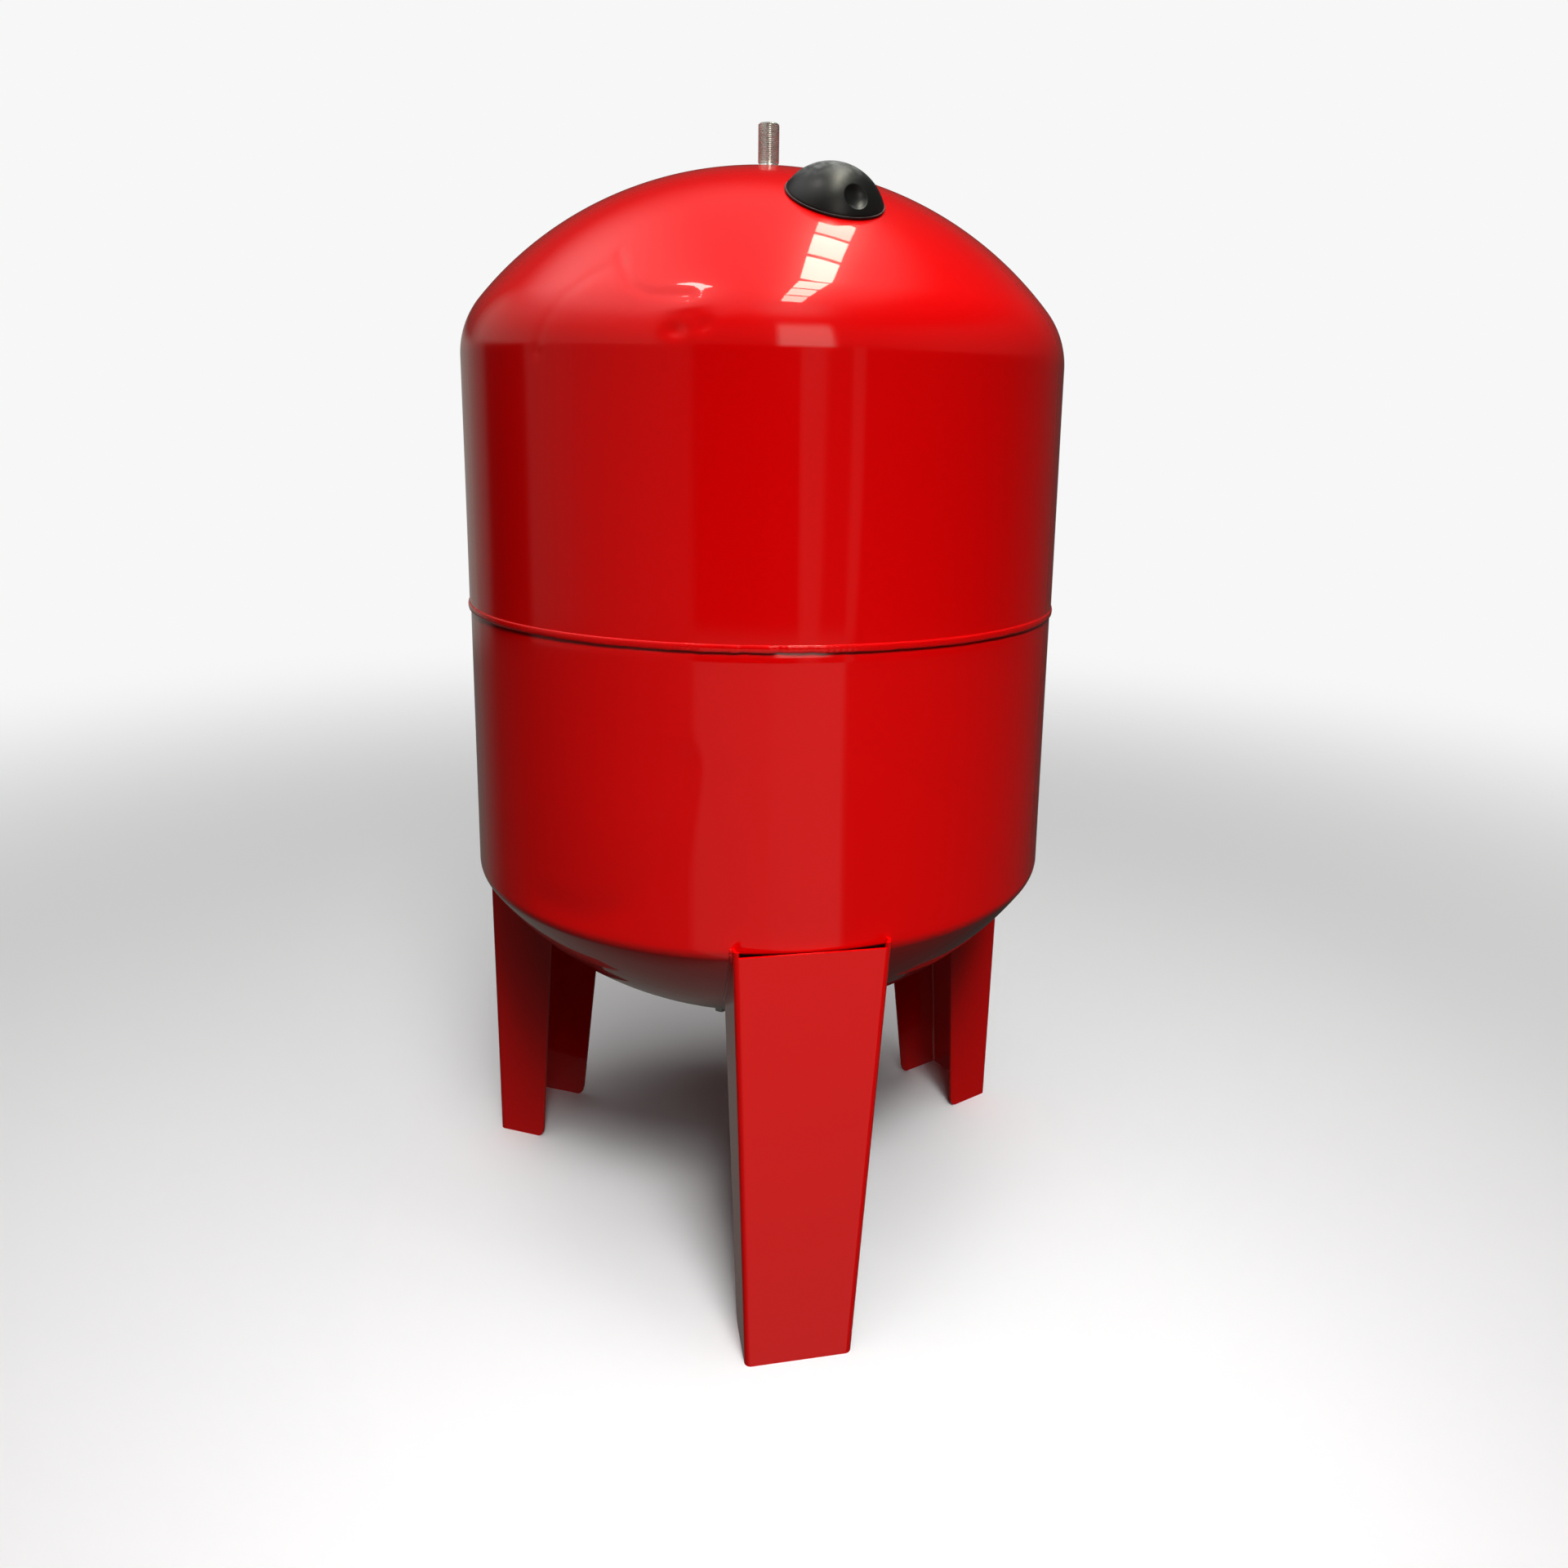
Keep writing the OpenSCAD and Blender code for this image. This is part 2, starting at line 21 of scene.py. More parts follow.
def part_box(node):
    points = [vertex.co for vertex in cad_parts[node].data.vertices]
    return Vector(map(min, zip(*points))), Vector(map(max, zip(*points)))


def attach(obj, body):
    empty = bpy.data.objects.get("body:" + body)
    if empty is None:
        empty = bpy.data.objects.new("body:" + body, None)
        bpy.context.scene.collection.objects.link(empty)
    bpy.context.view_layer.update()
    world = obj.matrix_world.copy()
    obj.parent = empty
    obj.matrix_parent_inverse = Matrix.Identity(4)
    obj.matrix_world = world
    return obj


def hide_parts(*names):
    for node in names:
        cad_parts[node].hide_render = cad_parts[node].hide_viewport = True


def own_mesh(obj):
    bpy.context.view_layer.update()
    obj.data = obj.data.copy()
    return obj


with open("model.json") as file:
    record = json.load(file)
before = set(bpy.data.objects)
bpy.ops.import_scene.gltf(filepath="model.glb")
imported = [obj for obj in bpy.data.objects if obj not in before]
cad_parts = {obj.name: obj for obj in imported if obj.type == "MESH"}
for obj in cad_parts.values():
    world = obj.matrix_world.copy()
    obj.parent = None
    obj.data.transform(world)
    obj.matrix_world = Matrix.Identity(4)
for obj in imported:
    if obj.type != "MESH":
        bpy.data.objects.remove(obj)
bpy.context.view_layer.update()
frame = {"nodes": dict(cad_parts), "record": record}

Piece = bpy.types.Object
Socket = bpy.types.NodeSocket
Outline = list[tuple[float, float]]
Colour = tuple[float, float, float]
Rule = Callable[[np.ndarray], np.ndarray]
Stops = tuple[tuple[float, float], ...]

log = logging.getLogger("vessel")
MM = 0.001
MERGE = 0.015 * MM
# name of the point attribute of painted shade: the near-black gap behind each leg's web
SHADE_ATTRIBUTE = "painted_gap_shade"

SHEET = 2.5 * MM
DOME_CROWN = 361.2 * MM
LEG_NAMES = ("leg_front", "leg_right", "leg_left")
LEG_TURNS = (0.0, 114.0, -119.0)
FRONT_LEAN = 9 * MM
WEB_GAP = 4.5 * MM
EAR = 5 * MM


class Body(Enum):
    """The CAD bodies that pieces ride on."""

    VESSEL = "vessel"
    PIN = "valve_pin_body"
    CAP = "dust_cap_body"
    COVER = "cover_body"


class Slot(Enum):
    """The record's material slots."""

    PAINT = "red_paint"
    NICKEL = "nickel_steel"
    ZINC = "zinc_steel"
    WIRE = "spring_steel"
    BRASS = "brass"
    PLASTIC = "black_plastic"
    RUBBER = "bladder_rubber"


class Part(Enum):
    """What a selection in edit mode is made of."""

    FACES = "FACE"
    EDGES = "EDGE"
    POINTS = "VERT"


# ---------------------------------------------------------------- the bench


def deselect() -> None:
    """Leaves nothing selected."""
    bpy.ops.object.select_all(action="DESELECT")


def take(*pieces: Piece) -> Piece:
    """Selects only these pieces and makes the first one active.

    Args:
        pieces: the pieces to select.

    Returns:
        The active piece.
    """
    deselect()
    for piece in pieces:
        piece.select_set(True)
    bpy.context.view_layer.objects.active = pieces[0]
    return pieces[0]


@contextmanager
def editing(piece: Piece, part: Part = Part.POINTS) -> Iterator[None]:
    """Opens a piece in edit mode with nothing selected, and closes it at the end.

    Args:
        piece: the piece to open.
        part: the kind of element that selections pick.

    Yields:
        Nothing.
    """
    take(piece)
    bpy.ops.object.mode_set(mode="EDIT")
    bpy.ops.mesh.select_mode(type=part.value)
    bpy.ops.mesh.select_all(action="DESELECT")
    yield
    bpy.ops.object.mode_set(mode="OBJECT")


def pick(piece: Piece, part: Part, test: Callable[[object], bool]) -> None:
    """Selects the elements of a piece in edit mode that pass a test.

    Args:
        piece: the piece that is open in edit mode.
        part: the kind of element to look at.
        test: says whether a bmesh element is picked.
    """
    mesh = bmesh.from_edit_mesh(piece.data)
    mesh.normal_update()
    for element in {Part.FACES: mesh.faces, Part.EDGES: mesh.edges, Part.POINTS: mesh.verts}[part]:
        element.select = test(element)
    mesh.select_flush_mode()
    bmesh.update_edit_mesh(piece.data)


def select_all() -> None:
    """Selects the whole of the piece that is open in edit mode."""
    bpy.ops.mesh.select_all(action="SELECT")


def middle(element: object) -> Vector:
    """Gives the middle of a bmesh edge or face."""
    points = [v.co for v in element.verts]
    return sum(points, Vector()) / len(points)


def named(name: str) -> Piece:
    """Names the piece that an operator has just added.

    Args:
        name: the new name of the piece and its mesh.

    Returns:
        The piece.
    """
    piece = bpy.context.object
    piece.name = name
    piece.data.name = name
    return piece


def mend(piece: Piece) -> None:
    """Merges a piece's doubled points and turns its faces outwards.

    Args:
        piece: the piece to mend.
    """
    with editing(piece):
        select_all()
        bpy.ops.mesh.remove_doubles(threshold=MERGE)
        bpy.ops.mesh.normals_make_consistent(inside=False)


def drawn(name: str, points: Sequence[Sequence[float]]) -> Piece:
    """Draws a line through points by extruding a single point.

    Args:
        name: the new piece's name.
        points: the line's points, in metres.

    Returns:
        A piece of edges only.
    """
    bpy.ops.mesh.primitive_plane_add(size=MM)
    piece = named(name)
    with editing(piece):
        select_all()
        bpy.ops.mesh.merge(type="CENTER")
        bpy.ops.transform.translate(value=points[0])
        for here, there in zip(points, points[1:]):
            step = tuple(b - a for a, b in zip(here, there))
            bpy.ops.mesh.extrude_region_move(TRANSFORM_OT_translate={"value": step})
    return piece


def spun(name: str, outline: Outline, steps: int, closed: bool = True) -> Piece:
    """Spins an outline about the Z axis.

    Args:
        name: the new piece's name.
        outline: radius and height of each point, in metres.
        steps: how many steps the turn has.
        closed: whether the outline's end is joined to its start.

    Returns:
        The closed piece, with its faces outwards.
    """
    ring = outline + outline[:1] if closed else outline
    piece = drawn(name, [(r, 0.0, z) for r, z in ring])
    mend(piece)
    changed(piece, "SCREW", angle=math.tau, steps=steps, render_steps=steps, axis="Z",
            use_merge_vertices=True, merge_threshold=MERGE)
    mend(piece)
    return piece


def wire(name: str, points: Sequence[Sequence[float]], radius: float) -> Piece:
    """Lays a round bead or wire along points.

    Args:
        name: the new piece's name.
        points: the line that it follows, in metres.
        radius: half its thickness.

    Returns:
        A closed mesh.
    """
    piece = drawn(name, points)
    take(piece)
    bpy.ops.object.convert(target="CURVE")
    piece.data.bevel_depth = radius
    piece.data.bevel_resolution = 3
    piece.data.use_fill_caps = True
    bpy.ops.object.convert(target="MESH")
    mend(piece)
    return piece


def changed(piece: Piece, kind: str, **settings: object) -> Piece:
    """Adds a modifier to a piece and applies it.

    Args:
        piece: the piece to change.
        kind: the modifier's type.
        settings: the modifier's settings.

    Returns:
        The same piece.
    """
    take(piece)
    bpy.ops.object.modifier_add(type=kind)
    modifier = piece.modifiers[-1]
    for key, value in settings.items():
        setattr(modifier, key, value)
    bpy.ops.object.modifier_apply(modifier=modifier.name)
    return piece


def cut(piece: Piece, cutter: Piece) -> Piece:
    """Takes a cutter's solid out of a piece, and removes the cutter.

    Args:
        piece: the piece to cut.
        cutter: the closed solid to take away.

    Returns:
        The cut piece.
    """
    changed(piece, "BOOLEAN", operation="DIFFERENCE", solver="EXACT", object=cutter)
    bpy.data.objects.remove(cutter)
    return piece


def points_of(piece: Piece) -> np.ndarray:
    """Gives a piece's points, one to a row.

    Args:
        piece: the piece to read.

    Returns:
        The points in metres.
    """
    points = np.empty(len(piece.data.vertices) * 3, np.float32)
    piece.data.vertices.foreach_get("co", points)
    return points.reshape(-1, 3).astype(float)


def round_axis(points: np.ndarray) -> tuple[np.ndarray, np.ndarray]:
    """Gives how points stand round the vessel's axis.

    Args:
        points: the points, one to a row.

    Returns:
        Each point's turn from the front leg in radians, and its distance from the axis.
    """
    return np.arctan2(points[:, 0], -points[:, 1]), np.hypot(points[:, 0], points[:, 1])


def scaled_round(points: np.ndarray, scale: np.ndarray, lift: np.ndarray | float = 0.0) -> np.ndarray:
    """Moves points away from the Z axis and along it.

    Args:
        points: the points, one to a row.
        scale: factor on each point's distance from the axis.
        lift: what is added to each point's height.

    Returns:
        The moved points.
    """
    return np.stack([points[:, 0] * scale, points[:, 1] * scale, points[:, 2] + lift], 1)


def reshape(piece: Piece, rule: Rule) -> Piece:
    """Moves every point of a piece by a rule.

    Args:
        piece: the piece to shape.
        rule: takes the points as an array of rows and returns them moved.

    Returns:
        The same piece.
    """
    moved = rule(points_of(piece))
    piece.data.vertices.foreach_set("co", moved.astype(np.float32).ravel())
    piece.data.update()
    return piece


def paint_gap_shade(piece: Piece, rule: Rule) -> None:
    """Writes a point attribute of painted shade, which turns the paint near black where its share is high.

    Args:
        piece: the piece to mark.
        rule: takes the points as rows and returns a share for each.
    """
    shares = np.clip(rule(points_of(piece)), 0, 1).astype(np.float32)
    piece.data.attributes.new(SHADE_ATTRIBUTE, "FLOAT", "POINT").data.foreach_set("value", shares)


def set_down(piece: Piece, place: Matrix) -> Piece:
    """Carries a piece made at the origin to its place, and puts that place in its mesh.

    Args:
        piece: the piece to carry.
        place: the matrix that takes it there.

    Returns:
        The same piece.
    """
    take(piece)
    piece.matrix_world = place
    bpy.ops.object.transform_apply(location=True, rotation=True, scale=True)
    return piece


def smooth(piece: Piece, angle: float = 32.0) -> Piece:
    """Shades a piece smooth, apart from its sharp edges.

    Args:
        piece: the piece to shade.
        angle: edges bent by more than this, in degrees, stay sharp.

    Returns:
        The same piece.
    """
    take(piece)
    bpy.ops.object.shade_smooth_by_angle(angle=math.radians(angle))
    return piece


def arc(centre: tuple[float, float], radius: float, start: float, end: float, count: int) -> Outline:
    """Gives the points of an arc in an outline.

    Args:
        centre: radius and height of the arc's centre.
        radius: the arc's own radius.
        start: angle of its first point above the horizontal, in degrees.
        end: angle of its last point.
        count: how many points it has.

    Returns:
        The arc's points.
    """
    turns = np.radians(np.linspace(start, end, count))
    return [(centre[0] + radius * math.cos(a), centre[1] + radius * math.sin(a)) for a in turns]


def rows(radius: float, start: float, end: float, count: int) -> Outline:
    """Gives evenly spaced points up or down a straight wall of an outline.

    Args:
        radius: distance of the wall from the axis.
        start: height of its first point.
        end: height of its last point.
        count: how many points it has.

    Returns:
        The wall's points.
    """
    return [(radius, float(z)) for z in np.linspace(start, end, count)]


def dished(crown: float, knuckle: float, radius: float) -> tuple[float, float]:
    """Works out where a dished end's knuckle runs into its crown.

    Args:
        crown: radius of the crown.
        knuckle: radius of the knuckle.
        radius: radius of the wall below it.

    Returns:
        How far the crown's centre lies from the tangent line, and the angle where they meet in degrees.
    """
    drop = math.sqrt((crown - knuckle) ** 2 - (radius - knuckle) ** 2)
    return drop, math.degrees(math.atan2(drop, radius - knuckle))


def without_repeats(outline: Outline) -> Outline:
    """Leaves out the points of an outline that stand on the one before.

    Args:
        outline: the points to go through.

    Returns:
        The points that are left.
    """
    kept = outline[:1]
    for point in outline[1:]:
        if math.dist(point, kept[-1]) > 2 * MERGE:
            kept.append(point)
    return kept


# ---------------------------------------------------------------- the finishes


class Graph:
    """A material's node tree while it is being built."""

    def __init__(self, name: str) -> None:
        """Starts a material with its principled shader and its Object coordinates."""
        self.material = bpy.data.materials.new(name)
        self.material.use_nodes = True
        self.tree = self.material.node_tree
        self.shader = self.tree.nodes["Principled BSDF"]
        self.place = self.tree.nodes.new("ShaderNodeTexCoord").outputs["Object"]

    def node(self, kind: str, **inputs: object) -> bpy.types.Node:
        """Adds a node and sets or links its inputs.

        Args:
            kind: the node's type.
            inputs: values or sockets by input name, with _ for a space.

        Returns:
            The new node.
        """
        made = self.tree.nodes.new(kind)
        for key, value in inputs.items():
            self.feed(value, made.inputs[key.replace("_", " ")])
        return made

    def feed(self, value: object, target: Socket) -> None:
        """Links a socket to an input, or sets the input to a value.

        Args:
            value: the value or the socket.
            target: the input.
        """
        if isinstance(value, bpy.types.NodeSocket):
            self.tree.links.new(value, target)
        else:
            target.default_value = value

    def mapped(self, stretch: tuple[float, float, float]) -> Socket:
        """Gives the Object coordinates, scaled along each axis.

        Args:
            stretch: the scale along each axis.

        Returns:
            The scaled coordinates.
        """
        return self.node("ShaderNodeMapping", Vector=self.place, Scale=stretch).outputs["Vector"]

    def noise(self, scale: float, detail: float = 3.0,
              stretch: tuple[float, float, float] = (1, 1, 1)) -> Socket:
        """Gives a noise value.

        Args:
            scale: cells to a metre.
            detail: finer layers added to it.
            stretch: scale along each axis, for streaks.

        Returns:
            The noise's Fac output.
        """
        texture = self.node("ShaderNodeTexNoise", Vector=self.mapped(stretch), Scale=scale, Detail=detail)
        return texture.outputs["Fac"]

    def ranged(self, value: Socket, low: float, high: float, first: float, last: float,
               kind: str = "SMOOTHSTEP") -> Socket:
        """Maps a value from one range to another, clamped.

        Args:
            value: the value to map.
            low: where its range starts.
            high: where its range ends.
            first: the result at the start.
            last: the result at the end.
            kind: how the result runs between them.

        Returns:
            The mapped value.
        """
        spread = self.node("ShaderNodeMapRange", Value=value)
        spread.interpolation_type = kind
        for key, number in zip(("From Min", "From Max", "To Min", "To Max"), (low, high, first, last)):
            spread.inputs[key].default_value = number
        return spread.outputs["Result"]

    def blend(self, share: Socket, under: object, over: object) -> Socket:
        """Mixes two colours by a share.

        Args:
            share: how much of the second shows.
            under: the first colour, or a socket.
            over: the second colour, or a socket.

        Returns:
            The mixed colour.
        """
        mix = self.tree.nodes.new("ShaderNodeMix")
        mix.data_type = "RGBA"
        self.feed(share, mix.inputs[0])
        self.feed(under if not isinstance(under, tuple) else (*under, 1.0), mix.inputs[6])
        self.feed(over if not isinstance(over, tuple) else (*over, 1.0), mix.inputs[7])
        return mix.outputs[2]

    def math(self, operation: str, *values: object) -> Socket:
        """Adds a maths node.

        Args:
            operation: what it does.
            values: its values or sockets.

        Returns:
            Its result.
        """
        node = self.tree.nodes.new("ShaderNodeMath")
        node.operation = operation
        for value, target in zip(values, node.inputs):
            self.feed(value, target)
        return node.outputs[0]

    def bump(self, height: Socket, strength: float, distance: float, under: Socket | None = None) -> Socket:
        """Adds a bump.

        Args:
            height: the height value.
            strength: how strongly it shows.
            distance: the height that a value of 1 stands for, in metres.
            under: another bump's normal that this one lies on.

        Returns:
            The bumped normal.
        """
        node = self.node("ShaderNodeBump", Height=height, Strength=strength, Distance=distance)
        if under is not None:
            self.feed(under, node.inputs["Normal"])
        return node.outputs["Normal"]

    def finish(self, **inputs: object) -> bpy.types.Material:
        """Sets the shader's own sockets.

        Args:
            inputs: values or sockets by input name, with _ for a space.

        Returns:
            The finished material.
        """
        for key, value in inputs.items():
            self.feed(value, self.shader.inputs[key.replace("_", " ")])
        return self.material


@dataclass(frozen=True)
class GlossPaint:
    """Sprayed gloss enamel with a little orange peel, faint specks of handling dust, and painted shade near black
    where a point attribute marks the gap behind the legs' webs.
    """

    name: str = "gloss_red_paint"
    colour: Colour = (0.80, 0.0006, 0.0010)
    deep: Colour = (0.76, 0.0006, 0.0010)
    dust: Colour = (0.70, 0.16, 0.13)
    # painted shade: the near-black colour painted into the gap behind the legs' webs
    gap_shade_colour: Colour = (0.012, 0.0015, 0.0015)
    roughness: float = 0.26
    level: float = 0.10
    coat: float = 0.85
    coat_roughness: float = 0.032
    peel: float = 0.028

    def build(self) -> bpy.types.Material:
        """Makes the material.

        Returns:
            The material.
        """
        g = Graph(self.name)
        tone = g.blend(g.ranged(g.noise(4.0, 2.0), 0.0, 1.0, 0.0, 1.0), self.colour, self.deep)
        specks = g.ranged(g.noise(760.0, 2.0), 0.74, 0.84, 0.0, 0.10)
        # painted shade: blends the paint to near black by the point attribute
        shade_share = g.node("ShaderNodeAttribute")
        shade_share.attribute_name = SHADE_ATTRIBUTE
        colour = g.blend(shade_share.outputs["Fac"], g.blend(specks, tone, self.dust), self.gap_shade_colour)
        peel = g.bump(g.noise(330.0, 2.0), self.peel, 0.12 * MM)
        return g.finish(Base_Color=colour, Roughness=self.roughness, Normal=peel, Coat_Weight=self.coat,
                        Coat_Roughness=self.coat_roughness, Coat_Normal=peel, Specular_IOR_Level=self.level)


@dataclass(frozen=True)
class TurnedMetal:
    """Machined or plated metal, a little blotched and specked."""

    name: str
    colour: Colour
    shade: Colour
    roughness: float = 0.26
    spread: float = 0.10
    grain: float = 220.0
    stretch: tuple[float, float, float] = (1.0, 1.0, 1.0)
    metallic: float = 1.0

    def build(self) -> bpy.types.Material:
        """Makes the material.

        Returns:
            The material.
        """
        g = Graph(self.name)
        blotch = g.ranged(g.noise(60.0, 3.0), 0.3, 0.75, 0.0, 0.35)
        speck = g.ranged(g.noise(900.0, 3.0), 0.66, 0.82, 0.0, 0.5)
        colour = g.blend(g.math("MAXIMUM", blotch, speck), self.colour, self.shade)
        grain = g.noise(self.grain, 3.0, self.stretch)
        rough = g.ranged(grain, 0.3, 0.7, self.roughness - self.spread / 2, self.roughness + self.spread)
        return g.finish(Base_Color=colour, Metallic=self.metallic, Roughness=rough,
                        Normal=g.bump(grain, 0.12, 0.05 * MM))


@dataclass(frozen=True)
class MouldedPlastic:
    """Black moulded plastic with a spark-eroded grain, and a grey, rougher layer on what faces up that is partly
    dust and partly painted sheen.
    """

    name: str = "moulded_black_plastic"
    colour: Colour = (0.0075, 0.0080, 0.0078)
    # dust and painted sheen: the grey that lightens what faces up
    dust: Colour = (0.22, 0.23, 0.22)
    roughness: float = 0.36
    grain: float = 0.34

    def build(self) -> bpy.types.Material:
        """Makes the material.

        Returns:
            The material.
        """
        g = Graph(self.name)
        normal = g.tree.nodes.new("ShaderNodeNewGeometry").outputs["Normal"]
        up = g.node("ShaderNodeSeparateXYZ", Vector=normal).outputs["Z"]
        cloud = g.ranged(g.noise(160.0, 5.0), 0.3, 0.72, 0.22, 0.85)
        # dust and painted sheen: upward faces turn lighter grey and rougher
        dust_and_sheen = g.math("MULTIPLY", g.ranged(up, 0.55, 1.0, 0.0, 1.0), cloud)
        grain = g.noise(1500.0, 2.0)
        eroded = g.ranged(grain, 0.3, 0.7, self.roughness - 0.05, self.roughness + 0.06)
        rough = g.math("ADD", eroded, g.math("MULTIPLY", dust_and_sheen, 0.3))
        return g.finish(Base_Color=g.blend(dust_and_sheen, self.colour, self.dust), Roughness=rough,
                        Normal=g.bump(grain, self.grain, 0.12 * MM))


@dataclass(frozen=True)
class Rubber:
    """Matt black rubber with a bloom."""

    name: str = "black_rubber"
    colour: Colour = (0.012, 0.012, 0.012)
    bloom: Colour = (0.05, 0.05, 0.048)
    roughness: float = 0.72

    def build(self) -> bpy.types.Material:
        """Makes the material.

        Returns:
            The material.
        """
        g = Graph(self.name)
        cloud = g.ranged(g.noise(18.0, 5.0), 0.35, 0.75, 0.0, 0.8)
        return g.finish(Base_Color=g.blend(cloud, self.colour, self.bloom), Roughness=self.roughness,
                        Normal=g.bump(g.noise(700.0, 3.0), 0.2, 0.1 * MM))


class Finishes:
    """The finishes of all slots, each made once."""

    def __init__(self) -> None:
        """Makes the materials."""
        self.of: dict[Slot, bpy.types.Material] = {
            Slot.PAINT: GlossPaint().build(),
            Slot.NICKEL: TurnedMetal("nickel_plated_thread", (0.93, 0.97, 0.92), (0.24, 0.22, 0.20),
                                     0.20, 0.04, metallic=0.8).build(),
            Slot.ZINC: TurnedMetal("zinc_plated_steel", (0.60, 0.61, 0.62), (0.34, 0.35, 0.36), 0.34).build(),
            Slot.WIRE: TurnedMetal("spring_wire", (0.45, 0.46, 0.48), (0.22, 0.22, 0.24), 0.22).build(),
            Slot.BRASS: TurnedMetal("turned_brass", (0.74, 0.52, 0.22), (0.40, 0.26, 0.10), 0.24).build(),
            Slot.PLASTIC: MouldedPlastic().build(),
            Slot.RUBBER: Rubber().build(),
        }

    def dress(self, piece: Piece, slot: Slot) -> None:
        """Gives a piece the finish of a slot as its only material.

        Args:
            piece: the piece to dress.
            slot: the slot whose finish it gets.
        """
        piece.data.materials.clear()
        piece.data.materials.append(self.of[slot])


@dataclass
class Maker:
    """Fits finished pieces to the frame and keeps count of them."""

    finishes: Finishes
    made: int = 0

    def fit(self, piece: Piece, slot: Slot, body: Body, *nodes: str) -> Piece:
        """Dresses a piece, rides it on its body and lets it stand for CAD nodes.

        Args:
            piece: the finished piece.
            slot: the record's material slot it takes its finish from.
            body: the CAD body that it rides on.
            nodes: the CAD nodes that it stands for.

        Returns:
            The same piece.
        """
        self.finishes.dress(piece, slot)
        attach(piece, body.value)
        if nodes:
            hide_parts(*nodes)
        self.made += 1
        log.info("%s: %d faces, rides on %s", piece.name, len(piece.data.polygons), body.value)
        return piece

    def carry_over(self) -> None:
        """Dresses every CAD node that still shows, or that a cut would show, in its slot's finish."""
        slots = {row["node"]: Slot(row["material_slot"]) for row in frame["record"]["subparts"]}
        for name, node in frame["nodes"].items():
            self.finishes.dress(node, slots[name])
            log.info("%s: carried over, %s", name, slots[name].value)


# ---------------------------------------------------------------- the shells


@dataclass(frozen=True)
class Dent:
    """A shallow dent or swelling in a shell's wall."""

    azimuth: float
    height: float
    depth: float
    along: float
    across: float
    lean: float = 0.0

    def push(self, points: np.ndarray) -> np.ndarray:
        """Gives how far each point moves towards the axis.

        Args:
            points: the points, one to a row.

        Returns:
            A distance for each point.
        """
        turn, away = round_axis(points)
        sideways = np.radians((np.degrees(turn) - self.azimuth + 180.0) % 360.0 - 180.0) * away
        rise = points[:, 2] - self.height
        lean = math.radians(self.lean)
        u = (sideways * math.cos(lean) + rise * math.sin(lean)) / self.along
        v = (rise * math.cos(lean) - sideways * math.sin(lean)) / self.across
        return self.depth * np.exp(-(u * u + v * v))


@dataclass(frozen=True)
class Crease:
    """A shallow crease along a path of azimuths and heights."""

    path: tuple[tuple[float, float], ...]
    depth: float
    width: float
    reach: float = 0.29

    def push(self, points: np.ndarray) -> np.ndarray:
        """Gives how far each point moves towards the axis.

        Args:
            points: the points, one to a row.

        Returns:
            A distance for each point.
        """
        flat = np.stack([np.arctan2(points[:, 0], -points[:, 1]) * self.reach, points[:, 2]], 1)
        nodes = [np.array([math.radians(turn) * self.reach, height]) for turn, height in self.path]
        nearest = np.full(len(points), np.inf)
        for start, end in zip(nodes, nodes[1:]):
            along = end - start
            share = np.clip((flat - start) @ along / (along @ along), 0, 1)
            nearest = np.minimum(nearest, np.linalg.norm(flat - start - share[:, None] * along, axis=1))
        return self.depth * np.exp(-((nearest / self.width) ** 2))


@dataclass
class Shell:
    """What both pressed shells share: a wall, a knuckle and a crown, and marks from pressing."""

    sheet: float = SHEET
    steps: int = 480
    wave: float = 0.16 * MM
    ripple: float = 0.045 * MM
    wall_reach: float = 0.29
    dents: tuple[Dent | Crease, ...] = ()
    fine: tuple[tuple[float, float, float], ...] = ()

    def refined(self, piece: Piece) -> None:
        """Divides the faces round the dents, so that they come out smooth.

        Args:
            piece: the spun shell.
        """
        for azimuth, height, reach in self.fine:
            turn = math.radians(azimuth)
            way = Vector((math.sin(turn), -math.cos(turn), 0))

            def near(face: object) -> bool:
                """Says whether a face lies round the dent."""
                at = middle(face)
                away = (at - way * self.wall_reach - Vector((0, 0, height))).length
                return abs(at.z - height) < 0.6 * reach and away < reach

            with editing(piece, Part.FACES):
                pick(piece, Part.FACES, near)
                bpy.ops.mesh.subdivide(number_cuts=2)

    def worked(self, piece: Piece, seam: float) -> Piece:
        """Gives a spun shell the slow waves of pressed sheet, its dents and the weld's pucker.

        Args:
            piece: the spun shell.
            seam: height of the girth seam.

        Returns:
            The same piece, shaded smooth.
        """

        def rule(points: np.ndarray) -> np.ndarray:
            """Adds the waves, the dents and the pucker.

            Args:
                points: the points, one to a row.

            Returns:
                The moved points.
            """
            turn, away = round_axis(points)
            height = points[:, 2]
            slow = (np.sin(3 * turn + 9.0 * height) + 0.7 * np.sin(5 * turn - 14.0 * height + 1.3)
                    + 0.5 * np.sin(11 * turn + 6.0 * height + 2.1))
            near = np.exp(-(((height - seam) / 0.055) ** 2))
            pucker = np.sin(61 * turn + 0.6 * np.sin(7 * turn)) * (0.55 + 0.45 * np.sin(9 * turn + 0.8))
            push = self.wave * slow * np.clip((away - 0.06) / 0.1, 0, 1) + self.ripple * pucker * near
            for dent in self.dents:
                push = push + dent.push(points)
            scale = 1 - push / np.maximum(away, 0.02)
            return scaled_round(points, scale)

        self.refined(piece)
        return smooth(reshape(piece, rule), 40)


